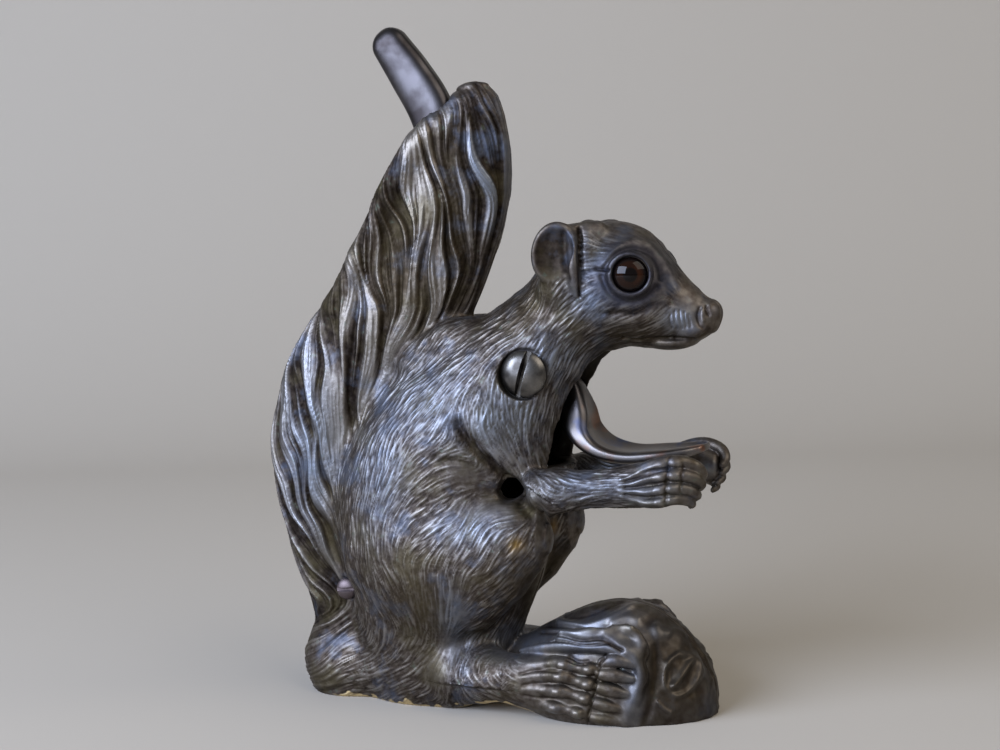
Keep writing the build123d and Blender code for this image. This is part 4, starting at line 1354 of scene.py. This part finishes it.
@dataclass
class Half:
    """One half casting: half the squirrel and half the nut, hollow and open below.

    The field is sampled, made quads, shared out among the regions, and its outer skin is lifted by fur
    and chased lines.  The field of the right half also has the two screws' recesses.
    """

    side: Side
    casting: Casting
    cell: float = 0.42
    seed: int = 3
    coarse_cell: float = 2.6
    levels: tuple[float, float] = (38.0, 76.0)
    tail_level: float = 100.0
    points: Array = field(init=False)
    normals: Array = field(init=False)
    faces: dict[str, Array] = field(init=False)
    attributes: dict[str, Array] = field(init=False)

    def recesses(self, p: Array) -> Array:
        """Distance to the recesses round the two screws' heads, in the right half alone."""
        m = MECHANISM
        holes = ((m.pivot_x, m.pivot_z, m.screw_recess, m.screw_seat),
                 (m.tail_screw_x, m.tail_screw_z, m.tail_screw_recess, m.tail_screw_seat))
        return np.minimum.reduce([np.maximum(np.hypot(p[:, 0] - x, p[:, 2] - z) - radius, seat - p[:, 1])
                                  for x, z, radius, seat in holes])

    def distance(self, p: Array) -> Array:
        """Distance to this half's casting."""
        solid = self.casting.solid(p)
        return carve(solid, self.recesses(p), 0.7) if self.side is Side.RIGHT else solid

    def pieces_of(self, p: Array) -> Array:
        """Name of the piece that each point belongs to, the large regions parted by height."""
        owner = self.casting.owners(p)
        names = np.array([region.name.lower() for region in Region], dtype="U16")[owner]
        tail, body = owner == Region.TAIL.value, owner == Region.BODY.value
        names[tail] = np.where(p[tail, 2] > self.tail_level, "tail_brush", "tail_root")
        names[body] = np.array(("body_base", "body_haunch", "body_shoulder"))[
            np.searchsorted(self.levels, p[body, 2])]
        return names

    def mesh(self) -> None:
        """Samples the field, makes its quads, and keeps points, normals and faces by piece."""
        low = np.array(self.casting.low, np.float32)
        counts = (np.ceil((np.array(self.casting.high) - low) / self.cell / 4).astype(int) + 1) * 4
        volume = sample_near_surface(self.distance, low, counts, self.cell)
        whole = surface_nets(volume, low, self.cell)
        log.info("%s half: %d quads", self.side.name.lower(), len(whole.quads))
        self.relieve(whole)
        label = self.pieces_of(whole.points)[whole.quads[:, 0]]
        self.faces = {name: whole.quads[label == name] for name in PIECE_ORDER}

    @staticmethod
    def shares(p: Array) -> tuple[Array, Array]:
        """How much each point belongs to the tail, and how much to bare members such as paws and husk.

        Args:
            p: Points on the skin, one a row.

        Returns:
            The tail's share and the bare share, from 0 to 1.
        """
        tail_gap, bare_gap, fur_gap = np.full((3, len(p)), FAR, np.float32)
        for member in MEMBERS:
            gap = member.solid.distance(p)
            if member.region is Region.TAIL:
                tail_gap = np.minimum(tail_gap, gap)
            elif any(member.solid is solid for solid in FURRED):
                fur_gap = np.minimum(fur_gap, gap)
            else:
                bare_gap = np.minimum(bare_gap, gap)
        tail = smoothstep(np.minimum(fur_gap, bare_gap) - tail_gap, -1.5, 2.5)
        bare = smoothstep(np.minimum(fur_gap, tail_gap) - bare_gap, -0.2, 0.6)
        return tail, bare

    @staticmethod
    def plainness(p: Array, normals: Array, eye: Array) -> Array:
        """How hairless the skin is: at eye, snout, crown, wrist, toes, rubbed patches and belly.

        Args:
            p: Points on the skin, one a row.
            normals: Normals at the points.
            eye: Distance from the eye, seen from the side.

        Returns:
            Shares from 0 to 1.
        """
        x, out, z = p.T
        crown = smoothstep(z - np.interp(x, (20, 40, 52, 62), (152, 152, 149, 141)), 0, 4) * (x > 14)
        belly = smoothstep(normals[:, 0], 0.35, 0.8) * smoothstep(x, 4.0, 10.0) * (z < 70)
        belly *= smoothstep(z, 22.0, 30.0)
        lids = (1.0 - smoothstep(eye, 8.6, 10.6)) * (z > 120)
        snout = smoothstep(x, 60.0, 64.0) * (z > 110)
        before_eye = smoothstep(x, 50.0, 56.0) * smoothstep(eye, 13.0, 9.0) * (z > 110)
        paw = smoothstep(x, 47.0, 52.0) * (z < 95)
        toes = smoothstep(x, 8.0, 15.0) * (z < 26)
        rubbed = patches(SMOOTH, x, z) * (out > 5)
        return np.maximum.reduce([lids, snout, before_eye, 0.8 * crown, paw, toes, 0.92 * rubbed,
                                  0.9 * belly])

    @staticmethod
    def comb(groom: Groom, p: Array, facing: Array, tail: Array) -> tuple[Array, Array]:
        """Fur on points of the skin: short on the body, long hair and locks on the tail.

        Args:
            groom: The comb.
            p: Points, one a row.
            facing: How far each point's normal faces out.
            tail: The tail's share.

        Returns:
            Heights, and how high or deep each point looks in its coat.
        """
        x, _, z = p.T
        long_hair, short_hair = tail > 0.02, tail < 0.98
        fine, hair, lock = np.zeros((3, len(p)), np.float32)
        fine[short_hair] = groom.strands(p[short_hair], FUR.strand, FUR.comb)
        hair[long_hair] = groom.strands(p[long_hair], HAIR.strand, HAIR.comb)
        lock[long_hair] = np.clip(groom.strands(p[long_hair], LOCKS.strand, LOCKS.comb), -1.7, 1.4)
        fine, hair = [np.minimum(np.abs(kind), 1.7) ** 0.75 - 0.8 for kind in (fine, hair)]
        lock *= tail * (0.35 + 0.65 * smoothstep(facing, 0.0, 0.6))
        lock *= (0.25 + 0.75 * smoothstep(z, 12.0, 45.0)) * (1.0 - 0.6 * smoothstep(z, 186.0, 200.0))
        short = 1.0 - 0.6 * smoothstep(x, 33.0, 42.0) * smoothstep(z, 112.0, 120.0)
        lift = (1 - tail) * FUR.height * fine * short + tail * HAIR.height * hair + LOCKS.height * lock
        return lift, (1 - tail) * fine + tail * (0.7 * hair - 0.32) + 0.85 * lock

    def relieve(self, whole: Mesh) -> None:
        """Lifts the outer skin by fur and strokes, and keeps what the finish reads.

        Args:
            whole: The half's mesh.
        """
        p = whole.points
        normals = whole.normals()
        x, out, z = p.T
        skin = 1.0 - smoothstep(np.abs(self.casting.skin(p)), 0.2, 0.7)
        over = z - self.casting.ground(p)
        free = skin * smoothstep(out, 0.3, 1.6) * smoothstep(over, 0.1, 0.9)
        slot_rim = smoothstep(normals[:, 0], 0.0, 0.5) * (z > 124.0) * (x < 12.0)
        free *= 1.0 - slot_rim * (1.0 - smoothstep(out, 1.8, 3.2))
        eye = np.hypot((x - 49.5) / 1.15, z - MECHANISM.eye_z)
        tail, bare = self.shares(p)
        coat = free * (1.0 - bare) * (1.0 - self.plainness(p, normals, eye))
        busy = coat > 0.01
        groom = Groom(self.casting, self.coarse_cell, self.seed)
        heights, cavity = np.zeros((2, len(p)), np.float32)
        heights[busy], cavity[busy] = [
            coat[busy] * part for part in self.comb(groom, p[busy], normals[busy, 1], tail[busy])]
        chased = np.zeros(len(p), np.float32)
        for stroke in STROKES:
            chased += stroke.lift(x, z)
        chased *= smoothstep(normals[:, 1], 0.05, 0.4) * skin * smoothstep(out, 1.0, 3.0)
        hammer = groom.value_noise(p, 5.5) * 0.35 + groom.value_noise(p, 2.4) * 0.14
        lumps = hammer * bare * free * (z < 45) * (0.15 + 0.85 * smoothstep(x, 50.0, 54.0)) * (x > 0)
        self.points = p + normals * (heights + chased + lumps)[:, None]
        self.points[:, 1] = np.where(out < 0.3, out, np.maximum(self.points[:, 1], 0.3))
        self.points[:, 2] = np.maximum(self.points[:, 2], 0.0)
        self.normals = Mesh(self.points, whole.quads).normals()
        ragged = over - 0.9 * groom.value_noise(p, 1.9)
        # The cup of the ear, darkened in the cavity below as painted shade.
        ear = 1.0 - smoothstep(EAR_CUP.distance(p), 0.2, 0.9)
        self.attributes = {
            # cavity: relief of fur and chased lines (dark patina in the grooves, rubbed ridges), with painted
            # shade added: faces away from the outer skin (hollows, cuts, screw recesses) and the ear's cup
            # are darkened.
            "cavity": np.clip(0.55 + 0.58 * cavity + 0.5 * chased, 0.0, 1.2)
            * (0.35 + 0.65 * skin) * (1 - 0.7 * ear),
            # Painted shade round the eye, full within 8 mm and gone by 14 mm.
            "dusk": (1.0 - smoothstep(eye, 8.0, 14.0)) * (z > 120),
            "edge": (1 - smoothstep(ragged, 0.7, 1.3))
            * smoothstep(-x, -19.0, -12.0) * smoothstep(x, -62.0, -54.0),
            "nut": (self.casting.owners(p) == Region.NUT.value) * smoothstep(x, 50.0, 54.0),
            # Painted sunlight: a small yellow spot of light on the knee.
            "sun": patches(PAINTED_SUNLIGHT, x, z),
            "cool": patches(COOL, x, z),
            "warm": patches(WARM, x, z)}

    def dress(self, material: Material) -> list[Object]:
        """Makes the pieces' objects, on their side of the parting plane.

        Args:
            material: The half's finish.

        Returns:
            The objects.
        """
        mirror = np.array([1.0, self.side.value, 1.0])
        prefix = self.side.name.lower()
        made = []
        for name, quads in self.faces.items():
            used, flat = np.unique(quads, return_inverse=True)
            faces = flat.reshape(quads.shape)
            faces = faces[:, ::-1] if self.side is Side.RIGHT else faces
            obj = make_object(f"{prefix}_{name}", self.points[used] * mirror, faces, material,
                              {key: values[used] for key, values in self.attributes.items()},
                              self.normals[used] * mirror)
            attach(obj, "body")
            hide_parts(f"{prefix}_half")
            log.info("%s: %d quads", obj.name, len(faces))
            made.append(obj)
        return made


def across_runs(rows: Array) -> Array:
    """Unit vectors square to a line of (x, z, ...) in the XZ plane, on its left, one at each point."""
    run = np.gradient(rows[:, :2], axis=0)
    run /= np.maximum(np.linalg.norm(run, axis=1, keepdims=True), 1e-9)
    return np.column_stack([-run[:, 1], run[:, 0]])


def superellipse(count: int, power: float) -> list[Array]:
    """Cosine and sine once round, each raised to a power with its sign kept."""
    angle = np.linspace(0.0, 2 * math.pi, count, endpoint=False)
    return [np.sign(part) * np.abs(part) ** power for part in (np.cos(angle), np.sin(angle))]


def bar(rows: Array, across: Array, wide: Array, y: Array) -> tuple[Array, Array]:
    """Sections of a bar along a line in the XZ plane.

    Args:
        rows: The line (x, z, ...), one point a row.
        across: Unit vectors in the XZ plane, one for each point.
        wide: How far each section's points lie along them.
        y: The points' places along Y.

    Returns:
        Points and faces.
    """
    x, z = [rows[:, i:i + 1] + across[:, i:i + 1] * wide for i in (0, 1)]
    return np.stack([x, y + 0 * wide, z], axis=-1).reshape(-1, 3), grid_faces(*wide.shape)


@dataclass
class Lever:
    """The lever: a tapering arm with a round tip, a hub and a dished tray, in one casting."""

    half_thick: float = 4.5
    hub_radius: float = 9.0
    hub_round: float = 0.6
    bore_radius: float = 5.0
    dish: float = 2.2
    rim: float = 2.4
    tray_tip: float = 2.2
    around: int = 72
    hub_around: int = 96

    def arm(self) -> tuple[Array, Array]:
        """Superellipses of power 3 along the arm's line, drawn in to a round tip at the handle's end."""
        line = through(ARM_STATIONS, 10)
        start = line[0]
        away = (line[0, :2] - line[1, :2]) / np.linalg.norm(line[0, :2] - line[1, :2])
        t = np.sin(np.linspace(0.0, math.pi / 2, 9))[1:][::-1]
        drawn_in = np.sqrt(np.maximum(1 - t * t, 0.0))
        tip = np.column_stack([start[:2] + away * (t * start[2])[:, None], start[2] * drawn_in])
        rows = np.vstack([tip, line])
        shrink = np.concatenate([drawn_in, np.ones(len(line))])[:, None]
        c, s = superellipse(self.around, 2 / 3.0)
        return bar(rows, -across_runs(rows), rows[:, 2:3] * c, self.half_thick * shrink * s)

    def tray(self) -> tuple[Array, Array]:
        """Sections along the tray's line, each a rounded bar whose upper side is dished between two rims."""
        line = through(TRAY_STATIONS, POINTS_PER_SPAN)
        end = line[-1]
        away = (line[-1, :2] - line[-2, :2]) / np.linalg.norm(line[-1, :2] - line[-2, :2])
        t = np.sin(np.linspace(0.0, math.pi / 2, 8))[1:]
        shrink = np.sqrt(np.maximum(1 - t * t, 1e-4))
        tip = np.column_stack([end[:2] + away * (t * self.tray_tip)[:, None], end[2] * (0.4 + 0.6 * shrink),
                               end[3] * shrink])
        rows = np.vstack([line, tip])
        c, s = superellipse(self.around, 0.62)
        half_thick, half_broad = rows[:, 2:3], rows[:, 3:4]
        y = half_broad * c
        level = half_thick * s
        number = np.arange(len(rows))[:, None]
        depth = self.dish * np.clip((number / POINTS_PER_SPAN - 1.4) / 1.6, 0, 1)
        depth = depth * np.clip((len(rows) - 1 - number) / 6.0, 0, 1)
        dished = np.clip(1 - np.abs(y / np.maximum(half_broad - self.rim, 0.5)) ** 3, 0, 1) * depth
        level = level - np.where(s > 0, np.minimum(dished, level + half_thick * 0.2), 0.0)
        return bar(rows, across_runs(rows), level, y)

    def hub(self) -> tuple[Array, Array]:
        """A ring round the pivot: a rounded rectangle of radius and height turned about the axis."""
        radius, half, cut = self.hub_radius, self.half_thick, self.hub_round
        corner = [(radius - cut, half), (radius - 0.25 * cut, half - cut / 3), (radius, half - cut)]
        outer = [(r, -h) for r, h in corner] + [(r, h) for r, h in corner[::-1]]
        profile = np.array([(self.bore_radius, -half), *outer, (self.bore_radius, half)])
        angle = np.linspace(0.0, 2 * math.pi, self.hub_around, endpoint=False)
        x = MECHANISM.pivot_x + profile[:, 0:1] * np.cos(angle)
        z = MECHANISM.pivot_z + profile[:, 0:1] * np.sin(angle)
        points = np.stack([x, profile[:, 1:2] + 0 * x, z], axis=-1).reshape(-1, 3)
        first = np.arange(self.hub_around)
        last = first + (len(profile) - 1) * self.hub_around
        bore = np.stack([last, np.roll(last, -1), np.roll(first, -1), first], axis=1)
        return points, np.vstack([grid_faces(len(profile), self.hub_around), bore])

    def dress(self, material: Material) -> list[Object]:
        """Makes the lever's three surfaces, with their faces turned outwards."""
        made = []
        for name, surface in (("lever_arm", self.arm), ("lever_tray", self.tray), ("lever_hub", self.hub)):
            obj = make_object(name, *surface(), material)
            close(obj)
            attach(obj, "lever")
            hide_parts("lever")
            log.info("%s: %d faces", name, len(obj.data.polygons))
            made.append(obj)
        return made


def close(obj: Object) -> None:
    """Merges a grid's doubled points, fills its open ends, and turns its faces outwards."""
    work = bmesh.new()
    work.from_mesh(obj.data)
    bmesh.ops.remove_doubles(work, verts=work.verts, dist=1e-6)
    rims = [edge for edge in work.edges if edge.is_boundary]
    if rims:
        bmesh.ops.holes_fill(work, edges=rims, sides=0)
    bmesh.ops.recalc_face_normals(work, faces=work.faces)
    for face in work.faces:
        face.smooth = True
    work.to_mesh(obj.data)
    work.free()


@dataclass
class Eyes:
    """The two glass eyes: a dome on a round plate, turned about an axis that looks a little forward."""

    rings: int = 40
    around: int = 72
    dome: float = 2.6
    bulge: float = 0.93
    plate: float = 3.0
    sunk: float = 0.2
    back: float = 0.3

    def surface(self, side: Side) -> tuple[Array, Array, Array]:
        """A lens turned about the eye's axis: height = dome * sqrt(1 - k r^2) less its edge's value.

        Args:
            side: Which eye.

        Returns:
            Points, faces and each point's distance from the axis.
        """
        m = MECHANISM
        share = np.linspace(0.0, 1.0, self.rings)
        edge = math.sqrt(1 - self.bulge)
        top = np.sqrt(1 - self.bulge * share ** 2) - edge
        height = self.plate - self.sunk + self.dome * top / (1 - edge)
        profile = np.vstack([np.column_stack([share * m.eye_radius, height]),
                             [[m.eye_radius, self.back], [0.0, self.back]]])
        angle = np.linspace(0.0, 2 * math.pi, self.around, endpoint=False)
        a = math.radians(m.eye_forward)
        across = profile[:, 0:1] * np.cos(angle)
        upward = profile[:, 0:1] * np.sin(angle)
        tall = profile[:, 1:2] + 0 * across
        x = m.eye_x + across * math.cos(a) + tall * math.sin(a)
        out = m.eye_out - across * math.sin(a) + tall * math.cos(a)
        points = np.stack([x, out * side.value, m.eye_z + upward], axis=-1).reshape(-1, 3)
        return points, grid_faces(len(profile), self.around), np.repeat(profile[:, 0], self.around)

    def dress(self, material: Material) -> list[Object]:
        """Makes both eyes, and stores each point's distance from the axis."""
        made = []
        for side in Side:
            points, faces, spread = self.surface(side)
            obj = make_object(f"{side.name.lower()}_glass_eye", points, faces, material, {"spread": spread})
            close(obj)
            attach(obj, "body")
            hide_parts(f"{side.name.lower()}_eye")
            log.info("%s: %d faces", obj.name, len(obj.data.polygons))
            made.append(obj)
        return made


@dataclass
class ScrewHead:
    """A screw's domed head with a slot, in place of its node: the height of a disk's points.

    Height = dome * sqrt(1 - k r^2) less its edge's value, with k the bulge, and down to the slot's floor
    where the distance across the slot's line is less than half its width, with a short slope at its edges.
    """

    name: str
    x: float
    z: float
    seat: float
    radius: float
    height: float
    slot_width: float
    slot_depth: float
    slot_turn: float
    bulge: float = 0.9
    slot_slope: float = 0.12
    sunk: float = 0.4
    steps: int = 150

    def surface(self) -> tuple[Array, Array]:
        """A square grid pressed into a disk, row by row, with a skirt down to the seat."""
        u = np.linspace(-1.0, 1.0, self.steps)
        gx, gz = np.meshgrid(u, u, indexing="ij")
        dx, dz = gx * np.sqrt(1 - gz ** 2 / 2), gz * np.sqrt(1 - gx ** 2 / 2)
        r2 = np.clip(dx ** 2 + dz ** 2, 0.0, 1.0)
        edge = 0.3 * self.height
        low = math.sqrt(1 - self.bulge)
        top = edge + (self.height - edge) * (np.sqrt(1 - self.bulge * r2) - low) / (1 - low)
        a = math.radians(self.slot_turn)
        across = np.abs(-dx * math.sin(a) + dz * math.cos(a)) * self.radius
        floor = max(self.height - self.slot_depth, edge * 0.3)
        half = self.slot_width / 2
        inside = 1.0 - smoothstep(across, half - self.slot_slope, half + self.slot_slope)
        top = top + (np.minimum(top, floor) - top) * inside
        points = np.stack([self.x + dx * self.radius, -(self.seat + top), self.z + dz * self.radius], axis=-1)
        points = points.reshape(-1, 3)
        n = self.steps
        number = np.arange(n * n).reshape(n, n)
        faces = np.stack([number[:-1, :-1], number[:-1, 1:], number[1:, 1:], number[1:, :-1]], axis=-1)
        rim = np.concatenate([number[0], number[1:, -1], number[-1, -2::-1], number[-2:0:-1, 0]])
        skirt = points[rim] * np.array([1.0, 0.0, 1.0]) + np.array([0.0, -self.seat + self.sunk, 0.0])
        below = n * n + np.arange(len(rim))
        sides = np.stack([rim, np.roll(rim, -1), np.roll(below, -1), below], axis=1)
        return np.vstack([points, skirt]), np.vstack([faces.reshape(-1, 4), sides])

    def dress(self, material: Material) -> Object:
        """Makes the head, which stands for the screw's node."""
        obj = make_object(f"{self.name}_head", *self.surface(), material)
        close(obj)
        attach(obj, "body")
        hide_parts(self.name)
        log.info("%s: %d faces", obj.name, len(obj.data.polygons))
        return obj


def dress_node(name: str, material: Material) -> None:
    """Puts a material on a CAD node that stays visible.

    Args:
        name: The node.
        material: Its finish.
    """
    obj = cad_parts[name]
    obj.data.materials.clear()
    obj.data.materials.append(material)
    log.info("%s keeps its own mesh", name)


@dataclass
class Studio:
    """A paper sweep, soft window light from the left and a weak fill, and the camera."""

    turn: float = 19.5
    rise: float = 5.5
    distance: float = 0.6
    roll: float = -1.5
    aim: tuple[float, float, float] = (0.0, 0.0, 0.1087)
    lens: float = 65.66

    def camera(self) -> None:
        """Places the camera by the turn and rise of its line of sight, rolled about it."""
        turn, rise, roll = [math.radians(v) for v in (self.turn, self.rise, self.roll)]
        sight = Vector((-math.sin(turn) * math.cos(rise), math.cos(turn) * math.cos(rise), -math.sin(rise)))
        right = Vector((math.cos(turn), math.sin(turn), 0.0))
        upward = right.cross(sight)
        side = right * math.cos(roll) + upward * math.sin(roll)
        top = upward * math.cos(roll) - right * math.sin(roll)
        data = bpy.data.cameras.new("camera")
        data.lens = self.lens
        data.sensor_width = 36.0
        data.clip_start = 0.01
        camera = bpy.data.objects.new("camera", data)
        turned = Matrix((side, top, -sight)).transposed().to_4x4()
        camera.matrix_world = Matrix.Translation(Vector(self.aim) - sight * self.distance) @ turned
        bpy.context.scene.collection.objects.link(camera)
        bpy.context.scene.camera = camera

    def sweep(self) -> Object:
        """A floor that curves up into a backdrop: a profile of distance and height, carried sideways."""
        bend = np.linspace(0.0, math.pi / 2, 24)
        back = np.concatenate([[-8.0, 0.0], 0.55 + 0.5 * np.sin(bend), [1.05]])
        height = np.concatenate([[0.0, 0.0], 0.5 - 0.5 * np.cos(bend), [3.0]])
        turn = math.radians(self.turn)
        side = np.array([math.cos(turn), math.sin(turn)])
        away = np.array([-math.sin(turn), math.cos(turn)])
        reach = np.array([-6.0, 6.0])
        xy = back[:, None, None] * away + reach[None, :, None] * side
        points = np.concatenate([xy, np.broadcast_to(height[:, None, None], (len(back), 2, 1))], axis=2)
        row = np.arange(len(back) - 1) * 2
        faces = np.stack([row, row + 1, row + 3, row + 2], axis=1)
        material, _, shader = new_material("paper_sweep")
        shader.inputs["Base Color"].default_value = linear("b3aca0")
        shader.inputs["Roughness"].default_value = 0.9
        shader.inputs["Specular IOR Level"].default_value = 0.2
        return make_object("paper_sweep", points.reshape(-1, 3) / MM, faces, material)

    def lamp(self, name: str, place: Sequence[float], size: Sequence[float], power: float,
             colour: str) -> Object:
        """An area lamp that faces the aim.

        Args:
            name: Its name.
            place: Where it stands, in metres.
            size: Its width and height.
            power: Its watts.
            colour: Its sRGB hex colour.

        Returns:
            The lamp.
        """
        data = bpy.data.lights.new(name, "AREA")
        data.shape = "RECTANGLE"
        data.size, data.size_y = size
        data.energy = power
        data.color = linear(colour)[:3]
        lamp = bpy.data.objects.new(name, data)
        turned = (Vector(self.aim) - Vector(place)).to_track_quat("-Z", "Y").to_matrix().to_4x4()
        lamp.matrix_world = Matrix.Translation(Vector(place)) @ turned
        bpy.context.scene.collection.objects.link(lamp)
        return lamp

    def build(self) -> None:
        """Sets the view, the world, the sweep and the lamps."""
        scene = bpy.context.scene
        scene.view_settings.view_transform = "Standard"
        world = bpy.data.worlds.new("room")
        scene.world = world
        world.use_nodes = True
        back = world.node_tree.nodes["Background"]
        back.inputs["Color"].default_value = linear("c9cdd4")
        back.inputs["Strength"].default_value = 0.42
        self.sweep()
        self.lamp("window", (-0.74, -1.13, 0.62), (1.3, 0.8), 46.0, "d3e1ff")
        self.lamp("fill", (1.15, -0.35, 1.2), (1.6, 1.2), 13.0, "fff6ea")
        self.camera()


def main() -> None:
    """Builds the halves, the lever, the eyes and the small metal, then the studio."""
    logging.basicConfig(level=logging.INFO, format="%(message)s")
    m = MECHANISM
    bronze = CastBronze().build()
    casting = Casting()
    for side, seed in ((Side.RIGHT, 3), (Side.LEFT, 8)):
        half = Half(side, casting, 0.42, seed)
        half.mesh()
        half.dress(bronze)
    Lever().dress(WornMetal("polished_bronze_lever", "4d4a4b", "322e2e", 0.33, rubbed="7a7572").build())
    Eyes().dress(GlassEye().build())
    ScrewHead("pivot_screw", m.pivot_x, m.pivot_z, m.screw_seat, 7.5, 3.9, 1.7, 3.1, 74.0).dress(
        WornMetal("turned_pewter_screw", "706d69", "3d3a37", 0.3, 5.0).build())
    ScrewHead("tail_screw", m.tail_screw_x, m.tail_screw_z, m.tail_screw_seat, 3.6, 2.1, 1.1, 1.2, 4.0).dress(
        WornMetal("steel_screw_dull", "75696a", "4f4644", 0.45).build())
    dress_node("pivot_bush", WornMetal("brass_bush", "9a8048", "6d5a34", 0.35).build())
    Studio().build()


if __name__ == "__main__":
    main()
